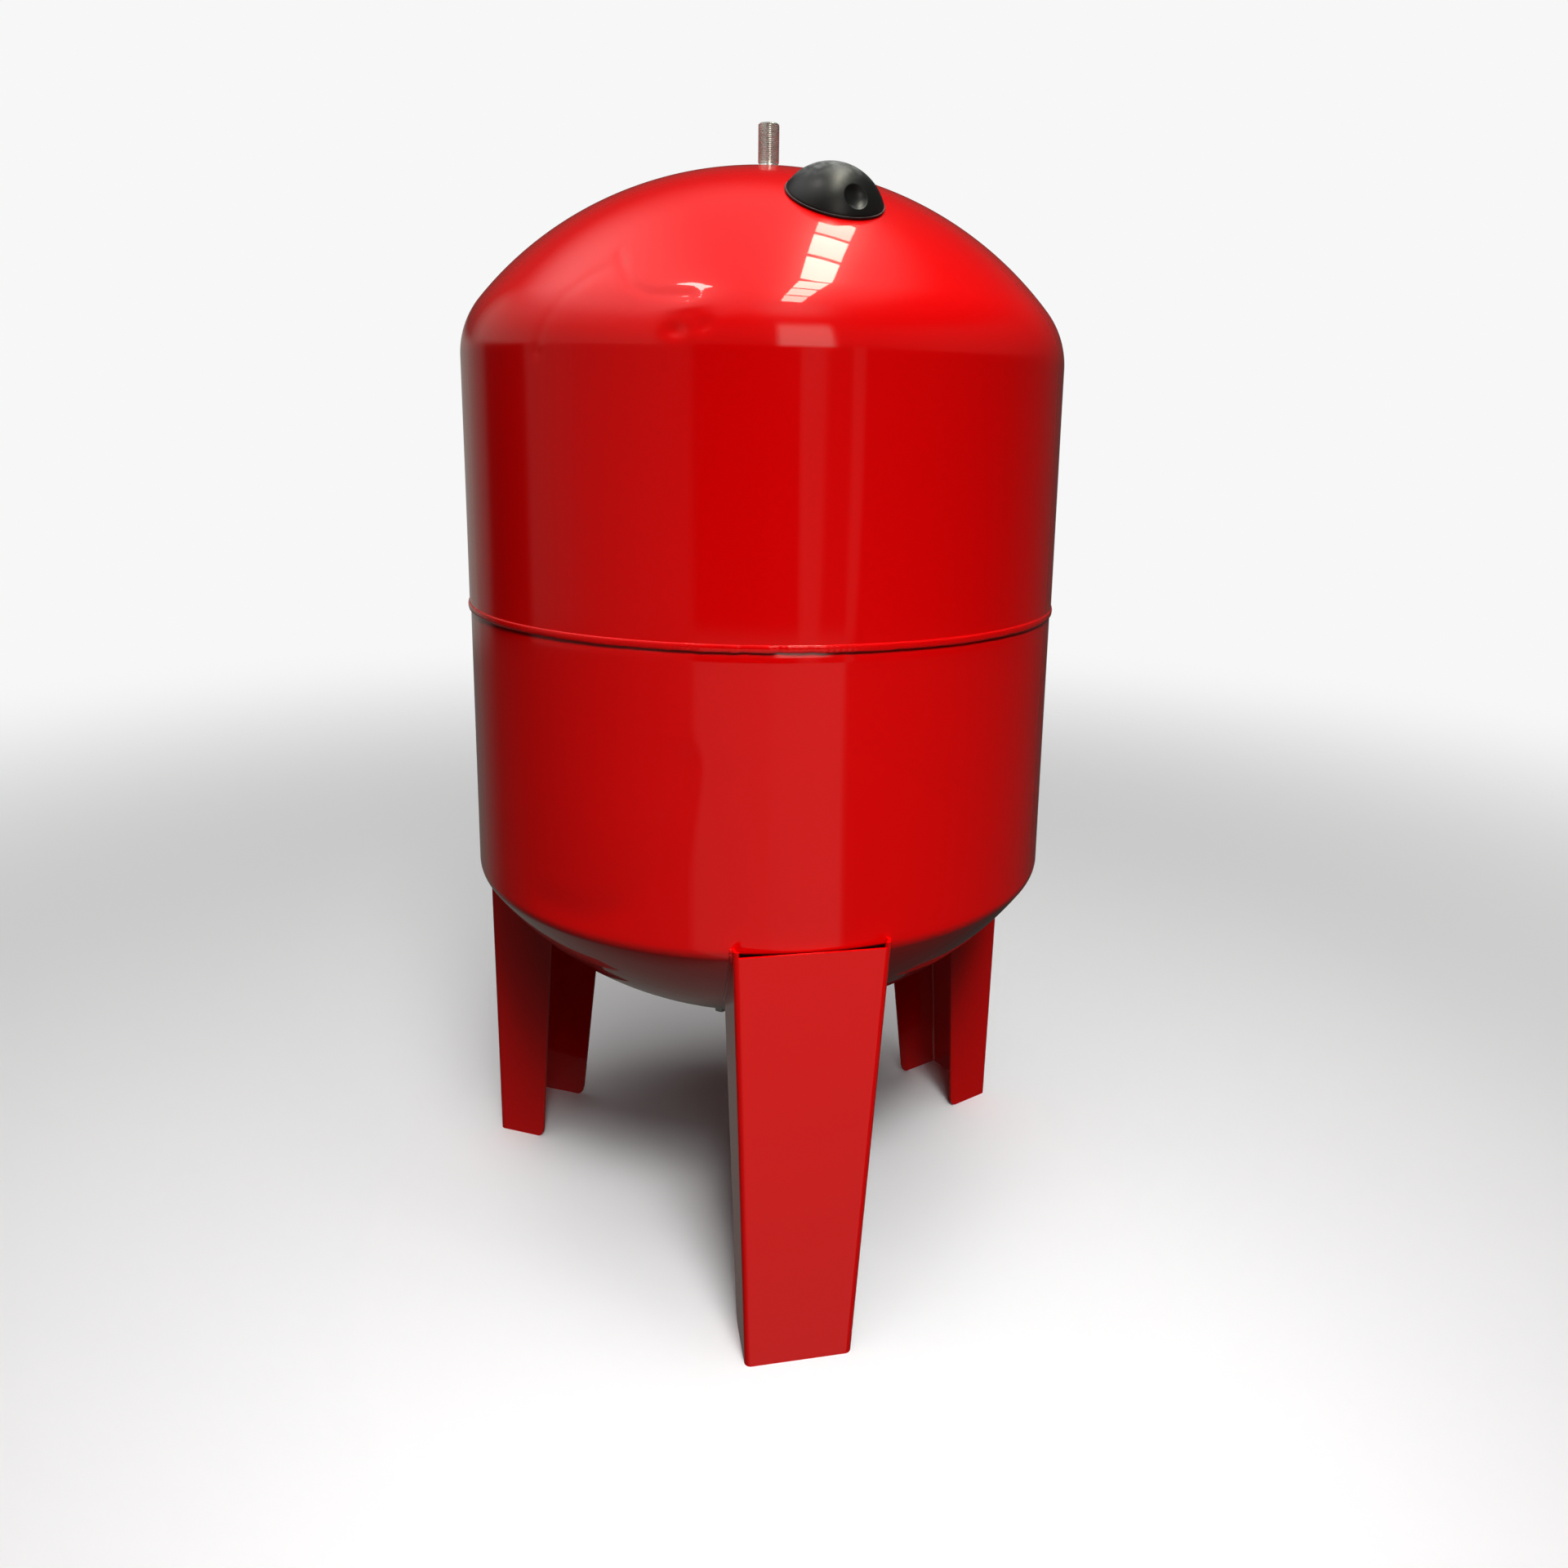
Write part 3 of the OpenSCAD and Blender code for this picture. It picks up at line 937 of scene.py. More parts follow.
@dataclass
class UpperShell(Shell):
    """The upper shell, open at the nipple and at the seam."""

    crown: float = DOME_CROWN
    knuckle: float = 85 * MM
    hub: float = 11.68 * MM
    valve_bore: float = 8.95 * MM
    fine: tuple[tuple[float, float, float], ...] = ((-22.0, 0.925, 0.055), (-38.0, 0.935, 0.075))
    dents: tuple[Dent | Crease, ...] = (
        Dent(-22.6, 0.910, 1.3 * MM, 0.010, 0.006),
        Dent(-18.2, 0.914, 0.9 * MM, 0.008, 0.006, 20),
        Dent(-20.6, 0.930, -0.9 * MM, 0.020, 0.006, 8),
        Dent(-25.0, 0.930, 0.8 * MM, 0.040, 0.020, 10),
        Crease(((-36.5, 0.974), (-34.0, 0.962), (-31.0, 0.946), (-27.5, 0.939), (-21.0, 0.938)),
               0.7 * MM, 0.0045),
        Crease(((-35.0, 0.966), (-39.5, 0.957), (-43.5, 0.940), (-46.5, 0.918), (-48.0, 0.895)),
               0.6 * MM, 0.0060),
        Dent(17.9, 0.790, 0.12 * MM, 0.012, 0.004, 35),
        Dent(18.4, 0.729, 0.12 * MM, 0.008, 0.004, 20),
        Dent(52.0, 0.850, 0.35 * MM, 0.060, 0.040),
        Dent(140.0, 0.820, 0.50 * MM, 0.040, 0.060),
    )

    def outline(self, low: float, top: float, radius: float) -> Outline:
        """Gives the shell's section.

        Args:
            low: height of its open edge.
            top: height of its pole.
            radius: outside radius.

        Returns:
            The outline from the seam up the outside and back down the inside.
        """
        drop, turn = dished(self.crown, self.knuckle, radius)
        centre = top - self.crown
        tangent = centre + drop
        inner = self.sheet
        outside = (rows(radius, low, tangent, 44)
                   + arc((radius - self.knuckle, tangent), self.knuckle, 0, turn, 26)
                   + arc((0, centre), self.crown, turn, math.degrees(math.acos(self.hub / self.crown)), 66))
        bore = math.degrees(math.acos(self.hub / (self.crown - inner)))
        inside = (arc((0, centre), self.crown - inner, bore, turn, 22)
                  + arc((radius - self.knuckle, tangent), self.knuckle - inner, turn, 0, 10)
                  + rows(radius - inner, tangent, low, 8))
        return without_repeats(outside + inside)

    def build(self, maker: Maker) -> None:
        """Makes and fits the shell.

        Args:
            maker: fits and counts the pieces.
        """
        low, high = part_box("upper_shell")
        piece = spun("upper_shell_pressed", self.outline(low.z, high.z, high.x), self.steps)
        bpy.ops.mesh.primitive_cylinder_add(vertices=64, radius=self.valve_bore, depth=12 * MM)
        cut(piece, set_down(named("valve_bore"), ValveSeat().place()))
        maker.fit(self.worked(piece, low.z), Slot.PAINT, Body.VESSEL, "upper_shell")


@dataclass
class LowerShell(Shell):
    """The lower shell, joggled to slip inside the upper one and open at the neck."""

    crown: float = 360 * MM
    knuckle: float = 20 * MM
    lip_in: float = 1.4 * MM
    joggle: float = 4 * MM
    neck: float = 46 * MM
    dents: tuple[Dent | Crease, ...] = (
        Crease(((-21.5, 0.560), (-22.7, 0.526), (-26.3, 0.465), (-31.7, 0.424), (-40.0, 0.409), (-50.0, 0.411)),
               0.9 * MM, 0.013),
        Dent(-35.0, 0.490, -0.8 * MM, 0.050, 0.060, -15),
        Dent(26.7, 0.527, 0.2 * MM, 0.010, 0.005, -40),
        Dent(12.0, 0.421, 0.3 * MM, 0.014, 0.005),
        Dent(165.0, 0.500, 0.5 * MM, 0.050, 0.050),
    )

    def outline(self, low: float, lip: float, seam: float, radius: float) -> Outline:
        """Gives the shell's section.

        Args:
            low: height of its pole.
            lip: height of its open edge.
            seam: height where the upper shell's edge ends.
            radius: outside radius.

        Returns:
            The outline from the lip down the outside and back up the inside.
        """
        drop, turn = dished(self.crown, self.knuckle, radius)
        centre = low + self.crown
        tangent = centre - drop
        inner = self.sheet
        lip_radius = radius - self.lip_in
        mouth = -math.degrees(math.acos(self.neck / self.crown))
        bore = -math.degrees(math.acos(self.neck / (self.crown - inner)))
        outside = (rows(lip_radius, lip, seam, 3) + rows(radius, seam - self.joggle, tangent + 8 * MM, 46)
                   + rows(radius, tangent + 7 * MM, tangent, 12)
                   + arc((radius - self.knuckle, tangent), self.knuckle, 0, -turn, 16)
                   + arc((0, centre), self.crown, -turn, mouth, 60))
        inside = (arc((0, centre), self.crown - inner, bore, -turn, 20)
                  + arc((radius - self.knuckle, tangent), self.knuckle - inner, -turn, 0, 6)
                  + rows(radius - inner, tangent, seam - self.joggle, 8)
                  + rows(lip_radius - inner, seam, lip, 3))
        return without_repeats(outside + inside)

    def build(self, maker: Maker) -> None:
        """Makes and fits the shell.

        Args:
            maker: fits and counts the pieces.
        """
        low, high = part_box("lower_shell")
        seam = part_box("upper_shell")[0].z
        piece = spun("lower_shell_pressed", self.outline(low.z, high.z, seam, high.x), self.steps)
        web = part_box("leg_front")[1].z - EAR

        def shade_behind_webs(points: np.ndarray) -> np.ndarray:
            """Says how much painted shade each point gets, in the gap behind and below a leg's web top.

            Args:
                points: the points, one to a row.

            Returns:
                A share for each point.
            """
            turn = np.degrees(round_axis(points)[0])
            shares = np.zeros(len(points))
            for leg in LEG_TURNS:
                side = np.abs((turn - leg + 180) % 360 - 180)
                shares = np.maximum(shares, np.clip((13.6 - side) / 0.6, 0, 1))
            return shares * np.clip((web + 0.4 * MM - points[:, 2]) / (1.4 * MM), 0, 1) * (points[:, 2] > 0.3)

        # painted shade in the gap behind and below the legs' web tops
        paint_gap_shade(piece, shade_behind_webs)
        maker.fit(self.worked(piece, seam), Slot.PAINT, Body.VESSEL, "lower_shell")

    def solid(self, low: float, top: float, radius: float) -> Piece:
        """Makes the shell's outside as one closed solid, which the legs are scribed to.

        Args:
            low: height of its pole.
            top: height where it ends.
            radius: outside radius.

        Returns:
            The solid.
        """
        drop, turn = dished(self.crown, self.knuckle, radius)
        centre = low + self.crown
        outline = ([(0.0, top), (radius, top)]
                   + arc((radius - self.knuckle, centre - drop), self.knuckle, 0, -turn, 12)
                   + arc((0, centre), self.crown, -turn, -90, 48))
        return spun("scribing_solid", without_repeats(outline), 240, closed=False)


@dataclass
class GirthWeld:
    """The weld bead round the seam: a flattened rope with fine ripples and an uneven lower edge."""

    reach: float = 1.15 * MM
    half_height: float = 3.2 * MM
    under: float = 2.2 * MM
    steps: int = 1440
    ripple: float = 0.10 * MM
    sag: float = 0.55 * MM

    def build(self, maker: Maker) -> None:
        """Makes and fits the bead.

        Args:
            maker: fits and counts the pieces.
        """
        low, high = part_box("girth_weld")
        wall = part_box("upper_shell")[1].x
        middle_z = high.z - 0.2 * MM
        turns = np.radians(np.linspace(-90, 90, 13))
        outline = [(wall + self.reach * math.cos(a) ** 0.7 if abs(math.cos(a)) > 1e-6 else wall - 0.2 * MM,
                    middle_z + self.half_height * math.sin(a)) for a in turns]
        root = self.half_height * 0.7
        outline += [(wall - self.under, middle_z + root), (wall - self.under, middle_z - root)]
        piece = spun("girth_weld_bead", outline, self.steps)

        def rule(points: np.ndarray) -> np.ndarray:
            """Adds the weld's ripples, its lumps and its sagging lower edge.

            Args:
                points: the points, one to a row.

            Returns:
                The moved points.
            """
            turn, away = round_axis(points)
            side = (points[:, 2] - middle_z) / self.half_height
            out = np.clip((away - wall) / self.reach, 0, 1)
            weave = np.sin(360 * turn + 2.0 * side * side)
            slow = 0.5 * np.sin(17 * turn + 0.4) + 0.3 * np.sin(41 * turn + 1.1) + 0.2 * np.sin(97 * turn)
            rough = np.exp(-((np.degrees(turn) + 9.0) / 13.0) ** 2)
            lump = rough * (0.6 * np.sin(73 * turn) + 0.4 * np.sin(131 * turn + 0.5))
            scale = 1 + out * (self.ripple * weave + 0.12 * MM * slow + 0.35 * MM * lump) / away
            drop = np.where(side < 0, -self.sag * (0.5 + 0.5 * slow + 0.9 * lump) * np.abs(side), 0.0)
            return scaled_round(points, scale, drop)

        maker.fit(smooth(reshape(piece, rule), 60), Slot.PAINT, Body.VESSEL, "girth_weld")


# ---------------------------------------------------------------- the legs


@dataclass
class Leg:
    """A channel folded from sheet, scribed to the lower shell and welded down both flanges."""

    node: str
    turn: float
    lean: float = 0.0
    sheet: float = 3 * MM
    top_width: float = 140 * MM
    foot_width: float = 99 * MM
    top_depth: float = 86 * MM
    foot_depth: float = 58 * MM
    splay: float = 10 * MM
    bend: float = 6 * MM
    corner: float = 8 * MM
    ear: float = EAR
    bead: float = 2.3 * MM
    edge: float = 0.9 * MM
    shell: LowerShell = field(default_factory=LowerShell)

    def half_width(self, height: float, top: float) -> float:
        """Gives half the channel's outside width.

        Args:
            height: the height where it is wanted.
            top: height of the flanges' top.

        Returns:
            Half the width.
        """
        return (self.foot_width + (self.top_width - self.foot_width) * height / top) / 2

    def channel(self, name: str, top: float, web: float) -> Piece:
        """Folds the channel, upright on -Y.

        Args:
            name: the new piece's name.
            top: height of the flanges' top.
            web: distance of the web's outer face from the axis at the top.

        Returns:
            The channel with its sheet's thickness, before it is scribed.
        """
        bpy.ops.mesh.primitive_cube_add(size=1, location=(0, 0, 0))
        piece = named(name)
        take(piece)
        back = web - self.top_depth
        bpy.ops.transform.resize(value=(self.top_width, self.top_depth, top))
        bpy.ops.transform.translate(value=(0, -(web + back) / 2, top / 2))
        bpy.ops.object.transform_apply(location=True, rotation=True, scale=True)
        with editing(piece, Part.FACES):
            pick(piece, Part.FACES, lambda f: f.normal.z < -0.9)
            foot = web + self.splay
            shift = (foot + foot - self.foot_depth) / 2 - (web + back) / 2
            narrow, shallow = self.foot_width / self.top_width, self.foot_depth / self.top_depth
            bpy.ops.transform.resize(value=(narrow, shallow, 1))
            bpy.ops.transform.translate(value=(-self.lean, -shift, 0))
            pick(piece, Part.FACES, lambda f: abs(f.normal.z) > 0.9 or f.normal.y > 0.5)
            bpy.ops.mesh.delete(type="ONLY_FACE")
            bpy.ops.mesh.select_mode(type="EDGE")
            pick(piece, Part.EDGES, lambda e: len(e.link_faces) == 2)
            bpy.ops.mesh.bevel(offset=self.bend, segments=6, affect="EDGES", clamp_overlap=True)
            bpy.ops.mesh.select_mode(type="FACE")
            pick(piece, Part.FACES, lambda f: f.normal.y < -0.99)
            bpy.ops.mesh.bisect(plane_co=(0, 0, top - self.ear), plane_no=(0, 0, 1))
            pick(piece, Part.FACES, lambda f: f.normal.y < -0.99 and middle(f).z > top - self.ear)
            bpy.ops.mesh.delete(type="FACE")
            for angle in (15, 35, 55, 75):
                down, back = math.sin(math.radians(angle)), math.cos(math.radians(angle))
                edge = (0, self.foot_depth - foot + self.corner * (back - 1), self.corner * (1 - down))
                select_all()
                bpy.ops.mesh.bisect(plane_co=edge, plane_no=(0, back, -down), clear_outer=True)
            select_all()
            bpy.ops.mesh.normals_make_consistent(inside=False)
        changed(piece, "SOLIDIFY", thickness=self.sheet, offset=-1.0, use_even_offset=True)
        return piece

    def weld_line(self, side: int, top: float, web: float,
                  body: tuple[float, float]) -> list[tuple[float, float, float]]:
        """Gives the line where a flange's outer face meets the shell.

        Args:
            side: -1 for the left flange, 1 for the right one.
            top: height of the flanges' top.
            web: distance of the web's outer face from the axis at the top.
            body: the shell's radius and the height of its crown's centre.

        Returns:
            Points from the top down.
        """
        radius, centre = body
        drop, turn = dished(self.shell.crown, self.shell.knuckle, radius)
        section = ([(radius, top - 1 * MM)]
                   + arc((radius - self.shell.knuckle, centre - drop), self.shell.knuckle, 0, -turn, 10)
                   + arc((0, centre), self.shell.crown, -turn, -60, 60))
        line = []
        for away, height in section:
            share = height / top
            x = side * self.half_width(height, top) - self.lean * (1 - share)
            y = -math.sqrt(max(away * away - x * x, 0))
            depth = self.foot_depth + (self.top_depth - self.foot_depth) * share
            free = -(web + self.splay * (1 - share)) + depth
            if y > free:
                break
            line.append((x, y, height))
        return line

    def build(self, maker: Maker) -> None:
        """Makes and fits the leg and its two weld beads.

        Args:
            maker: fits and counts the pieces.
        """
        low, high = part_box("lower_shell")
        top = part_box("leg_front")[1].z
        web = high.x + WEB_GAP
        place = Matrix.Rotation(math.radians(self.turn), 4, "Z")
        piece = self.channel(self.node + "_folded", top, web)
        cut(piece, self.shell.solid(low.z, top + 2 * MM, high.x))
        changed(piece, "BEVEL", width=self.edge, segments=3, limit_method="ANGLE",
                angle_limit=math.radians(40))
        set_down(piece, place)
        changed(smooth(piece, 35), "WEIGHTED_NORMAL", weight=100, keep_sharp=True)
        maker.fit(piece, Slot.PAINT, Body.VESSEL, self.node)
        body = (high.x, low.z + self.shell.crown)
        for side, label in ((-1, "left"), (1, "right")):
            line = self.weld_line(side, top, web, body)
            bead = wire(f"{self.node}_weld_{label}", line, self.bead)
            changed(bead, "SUBSURF", levels=1, render_levels=1)

            def rule(points: np.ndarray) -> np.ndarray:
                """Makes the bead uneven along its run.

                Args:
                    points: the points, one to a row.

                Returns:
                    The moved points.
                """
                wobble = 1 + 0.0009 * np.sin(points[:, 2] * 1900) + 0.0006 * np.sin(points[:, 2] * 700 + side)
                return points * wobble[:, None]

            reshape(bead, rule)
            set_down(bead, place)
            maker.fit(smooth(bead, 60), Slot.PAINT, Body.VESSEL)


# ---------------------------------------------------------------- threads and nipples


@dataclass(frozen=True)
class Thread:
    """A vee thread cut into a round bar."""

    radius: float
    pitch: float
    depth: float
    low: float
    high: float
    steps: int = 48

    def cutter(self) -> Piece:
        """Makes the coil that the thread's groove is cut with.

        Returns:
            The closed coil.
        """
        half = 0.46 * self.pitch
        out = 0.25 * MM
        turns = math.ceil((self.high - self.low) / self.pitch) + 1
        start = self.low - 0.5 * self.pitch
        root, rim = self.radius - self.depth, self.radius + out
        coil = drawn("thread_cutter", [(root, 0, start), (rim, 0, start - half), (rim, 0, start + half),
                                       (root, 0, start)])
        with editing(coil):
            select_all()
            bpy.ops.mesh.remove_doubles(threshold=MERGE)
            select_all()
            bpy.ops.mesh.edge_face_add()
        changed(coil, "SCREW", angle=math.tau, steps=self.steps, render_steps=self.steps, axis="Z",
                screw_offset=self.pitch, iterations=turns, use_merge_vertices=False)
        with editing(coil, Part.EDGES):
            select_all()
            bpy.ops.mesh.remove_doubles(threshold=MERGE / 2)
            bpy.ops.mesh.select_all(action="DESELECT")
            bpy.ops.mesh.select_non_manifold(extend=False, use_wire=False, use_multi_face=False,
                                             use_non_contiguous=False, use_verts=False)
            bpy.ops.mesh.edge_face_add()
            select_all()
            bpy.ops.mesh.normals_make_consistent(inside=False)
        return coil


@dataclass
class TopNipple:
    """The half-inch nipple on the top, with its hub, thread and root weld."""

    bore: float = 6.5 * MM
    hub: float = 11.68 * MM
    thread: float = 10.48 * MM
    tail: float = 9.68 * MM
    collar: float = 20 * MM
    hub_height: float = 6 * MM
    pitch: float = 1.814 * MM
    thread_depth: float = 1.05 * MM
    weld_reach: float = 3.6 * MM

    def build(self, maker: Maker) -> None:
        """Makes and fits the nipple and its weld.

        Args:
            maker: fits and counts the pieces.
        """
        low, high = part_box("top_nipple")
        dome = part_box("upper_shell")[1].z
        crown = DOME_CROWN - SHEET
        centre = dome - DOME_CROWN
        under = centre + math.sqrt(crown ** 2 - self.collar ** 2)
        collar_low = dome - 10.5 * MM
        chamfer = 1.0 * MM
        hub_top = dome + self.hub_height
        relief = self.thread - 1.1 * MM
        outline = [(self.bore, low.z), (self.tail, low.z), (self.tail, collar_low), (self.collar, collar_low),
                   (self.collar, under), (self.hub, centre + math.sqrt(crown ** 2 - self.hub ** 2)),
                   (self.hub, hub_top - chamfer), (self.hub - 0.4 * MM, hub_top),
                   (relief, hub_top + 0.4 * MM), (relief, hub_top + 1.6 * MM),
                   (self.thread, hub_top + 2.7 * MM), (self.thread, high.z - 1.3 * MM),
                   (self.thread - 1.2 * MM, high.z - 0.1 * MM), (self.thread - 1.5 * MM, high.z),
                   (self.bore + 0.7 * MM, high.z), (self.bore, high.z - 0.7 * MM)]
        piece = spun("top_nipple_turned", outline, 96)
        groove = Thread(self.thread, self.pitch, self.thread_depth, hub_top + 2.2 * MM, high.z, 96)
        cut(piece, groove.cutter())
        changed(piece, "BEVEL", width=0.12 * MM, segments=1, limit_method="ANGLE",
                angle_limit=math.radians(45))
        maker.fit(smooth(piece, 28), Slot.NICKEL, Body.VESSEL, "top_nipple")

        root = dome - 0.6 * MM
        section = [(self.hub - 0.3 * MM, root - 0.6 * MM),
                   (self.hub + self.weld_reach + 0.6 * MM, root - 0.6 * MM),
                   (self.hub + self.weld_reach, root + 0.5 * MM),
                   (self.hub + 0.62 * self.weld_reach, root + 1.9 * MM),
                   (self.hub + 0.25 * self.weld_reach, root + 3.0 * MM), (self.hub - 0.3 * MM, root + 3.6 * MM)]
        bead = spun("top_nipple_weld_bead", section, 180)

        def rule(points: np.ndarray) -> np.ndarray:
            """Makes the bead uneven round the hub.

            Args:
                points: the points, one to a row.

            Returns:
                The moved points.
            """
            turn, away = round_axis(points)
            out = np.clip((away - self.hub) / self.weld_reach, 0, 1)
            scale = 1 + out * (0.22 * MM * np.sin(30 * turn) + 0.3 * MM * np.sin(3 * turn + 1)) / away
            return scaled_round(points, scale)

        maker.fit(smooth(reshape(bead, rule), 60), Slot.PAINT, Body.VESSEL, "top_nipple_weld")


# ---------------------------------------------------------------- the charging valve and its cover


@dataclass
class ValveSeat:
    """Where the charging valve stands: its axis and the point where it leaves the dome."""

    tilt: float = 31.2
    turn: float = 9.2
    crown: float = DOME_CROWN

    def place(self) -> Matrix:
        """Gives the place of the valve's seat.

        Returns:
            The matrix that carries a piece drawn along +Z there.
        """
        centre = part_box("upper_shell")[1].z - self.crown
        return (Matrix.Translation((0, 0, centre)) @ Matrix.Rotation(math.radians(self.turn), 4, "Z")
                @ Matrix.Rotation(math.radians(self.tilt), 4, "X") @ Matrix.Translation((0, 0, self.crown)))


@dataclass
class ValveCover:
    """The domed clip-on cover with its rim, shadow line and blind round recess."""

    radius: float = 44 * MM
    height: float = 29 * MM
    low: float = -2.19 * MM
    wall: float = 2.2 * MM
    band: float = 3 * MM
    step: float = 1 * MM
    recess: float = 11 * MM
    depth: float = 4 * MM
    recess_tilt: float = 43
    recess_turn: float = 10
    steps: int = 320

    def build(self, maker: Maker, seat: ValveSeat) -> None:
        """Makes and fits the cover.

        Args:
            maker: fits and counts the pieces.
            seat: where the charging valve stands.
        """
        base = self.radius - self.step
        rise = self.height - self.band
        ball = (base ** 2 + rise ** 2) / (2 * rise)
        top = self.low + self.height
        centre = top - ball
        start = math.degrees(math.asin((self.low + self.band - centre) / ball))
        inner = ball - self.wall
        inner_start = math.degrees(math.asin((self.low + self.band - centre) / inner))
        rim = self.low + self.band
        outline = [(self.radius - 2.4 * MM, self.low), (self.radius - 0.5 * MM, self.low),
                   (self.radius, self.low + 0.5 * MM), (self.radius, self.low + 1.7 * MM),
                   (self.radius - 0.3 * MM, self.low + 2.0 * MM),
                   (self.radius - 1.0 * MM, self.low + 2.05 * MM), (self.radius - 1.0 * MM, rim - 0.25 * MM)]
        outline += arc((0, centre), ball, start, 90, 96)[1:]
        outline += arc((0, centre), inner, 90, inner_start, 60)
        piece = spun("valve_cover_moulded", without_repeats(outline), self.steps)

        tilt, turn = math.radians(self.recess_tilt), math.radians(self.recess_turn - 90)
        aim = np.array([math.sin(tilt) * math.cos(turn), math.sin(tilt) * math.sin(turn), math.cos(tilt)])
        bowl = (self.recess ** 2 + self.depth ** 2) / (2 * self.depth)
        out = math.sqrt(ball ** 2 - self.recess ** 2) + bowl - self.depth
        dome = np.array([0, 0, centre])

        with editing(piece, Part.FACES):
            point = Vector(dome + aim * ball)
            pick(piece, Part.FACES, lambda f: (middle(f) - point).length < 1.25 * self.recess)
            bpy.ops.mesh.subdivide(number_cuts=1)

        def rule(points: np.ndarray) -> np.ndarray:
            """Sinks the round recess into both faces of the wall.

            Args:
                points: the points, one to a row.

            Returns:
                The moved points.
            """
            away = points - dome
            along = away @ aim
            side = np.linalg.norm(away - along[:, None] * aim, axis=1)
            outer = np.linalg.norm(away, axis=1) > ball - self.wall / 2
            floor = out - np.sqrt(np.maximum(bowl ** 2 - side ** 2, 0)) - np.where(outer, 0.0, self.wall)
            inside = (side < bowl) & (along > 0)
            soft = 0.25 * MM
            gap = along - floor
            dip = np.where(inside, 0.5 * (gap + np.sqrt(gap ** 2 + soft ** 2)), 0.0)
            dip = np.where(side < 1.3 * self.recess, dip, 0.0)
            return points - dip[:, None] * aim

        reshape(piece, rule)
        mend(piece)
        set_down(piece, seat.place())
        maker.fit(smooth(piece, 40), Slot.PLASTIC, Body.COVER, "valve_cover")


@dataclass
class ValveSpring:
    """The wound spring that holds the valve's pin up, with closed end turns."""

    joint: str = "pin_press"
    travel: float = 1.5 * MM
    foot: float = 8.0 * MM
    head: float = 14.98 * MM
    radius: float = 1.27 * MM
    wire: float = 0.22 * MM
    open_turns: int = 5
    turn_steps: int = 24

    def build(self, maker: Maker, seat: ValveSeat) -> None:
        """Winds and fits the spring.

        Args:
            maker: fits and counts the pieces.
            seat: where the charging valve stands.
        """
        closed = 2 * self.wire
        pitch = (self.head - self.foot - 2 * self.wire - 2 * closed) / self.open_turns
        rises = [closed] + [pitch] * self.open_turns + [closed]
        height, points = self.foot + self.wire, []
        for rise in rises:
            for step in range(self.turn_steps):
                share = step / self.turn_steps
                turn = math.tau * share
                across = (self.radius * math.cos(turn), self.radius * math.sin(turn))
                points.append((*across, height + rise * share))
            height += rise
        piece = set_down(wire("valve_spring_wound", points, self.wire), seat.place())
        maker.fit(smooth(piece, 60), Slot.WIRE, Body.VESSEL, "valve_spring")
        anchor = seat.place() @ Vector((0, 0, self.foot))
        axis = seat.place().to_3x3() @ Vector((0, 0, 1))
        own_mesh(piece)


@dataclass
class DustCap:
    """The ribbed dust cap that screws over the charging valve."""

    radius: float = 5.6 * MM
    bore: float = 3.9 * MM
    low: float = 7.4 * MM
    high: float = 23 * MM
    cavity: float = 20.5 * MM
    ribs: int = 24
    rib: float = 0.35 * MM

    def build(self, maker: Maker, seat: ValveSeat) -> None:
        """Makes and fits the cap.

        Args:
            maker: fits and counts the pieces.
            seat: where the charging valve stands.
        """
        outline = [(self.bore, self.low), (self.radius - 0.3 * MM, self.low), (self.radius, self.low + 0.3 * MM)]
        outline += rows(self.radius, self.low + 1 * MM, self.high - 2.2 * MM, 10)
        outline += [(self.radius - 0.3 * MM, self.high - 0.9 * MM), (self.radius - 1.1 * MM, self.high - 0.15 * MM),
                    (self.radius - 2.0 * MM, self.high), (2.2 * MM, self.high), (2.0 * MM, self.high - 0.4 * MM),
                    (0.0, self.high - 0.4 * MM), (0.0, self.cavity), (self.bore, self.cavity)]
        piece = spun("dust_cap_ribbed", outline, self.ribs * 8)

        def rule(points: np.ndarray) -> np.ndarray:
            """Cuts the ribs of the grip.

            Args:
                points: the points, one to a row.

            Returns:
                The moved points.
            """
            turn = np.arctan2(points[:, 1], points[:, 0])
            away = np.hypot(points[:, 0], points[:, 1])
            height = points[:, 2]
            grip = (away > self.radius - 0.2 * MM) & (height > self.low + 0.8 * MM) & (height < self.high - 2 * MM)
            dip = self.rib * (0.5 - 0.5 * np.cos(self.ribs * turn)) * grip
            scale = 1 - dip / np.maximum(away, MM)
            return scaled_round(points, scale)

        set_down(reshape(piece, rule), seat.place())
        maker.fit(smooth(piece, 40), Slot.PLASTIC, Body.CAP, "dust_cap")


# ---------------------------------------------------------------- the studio


class Reach(Enum):
    """What a light's glow reaches: everything, or only matt or only glossy reflection."""

    ALL = (True, True)
    MATT = (True, False)
    GLOSS = (False, True)


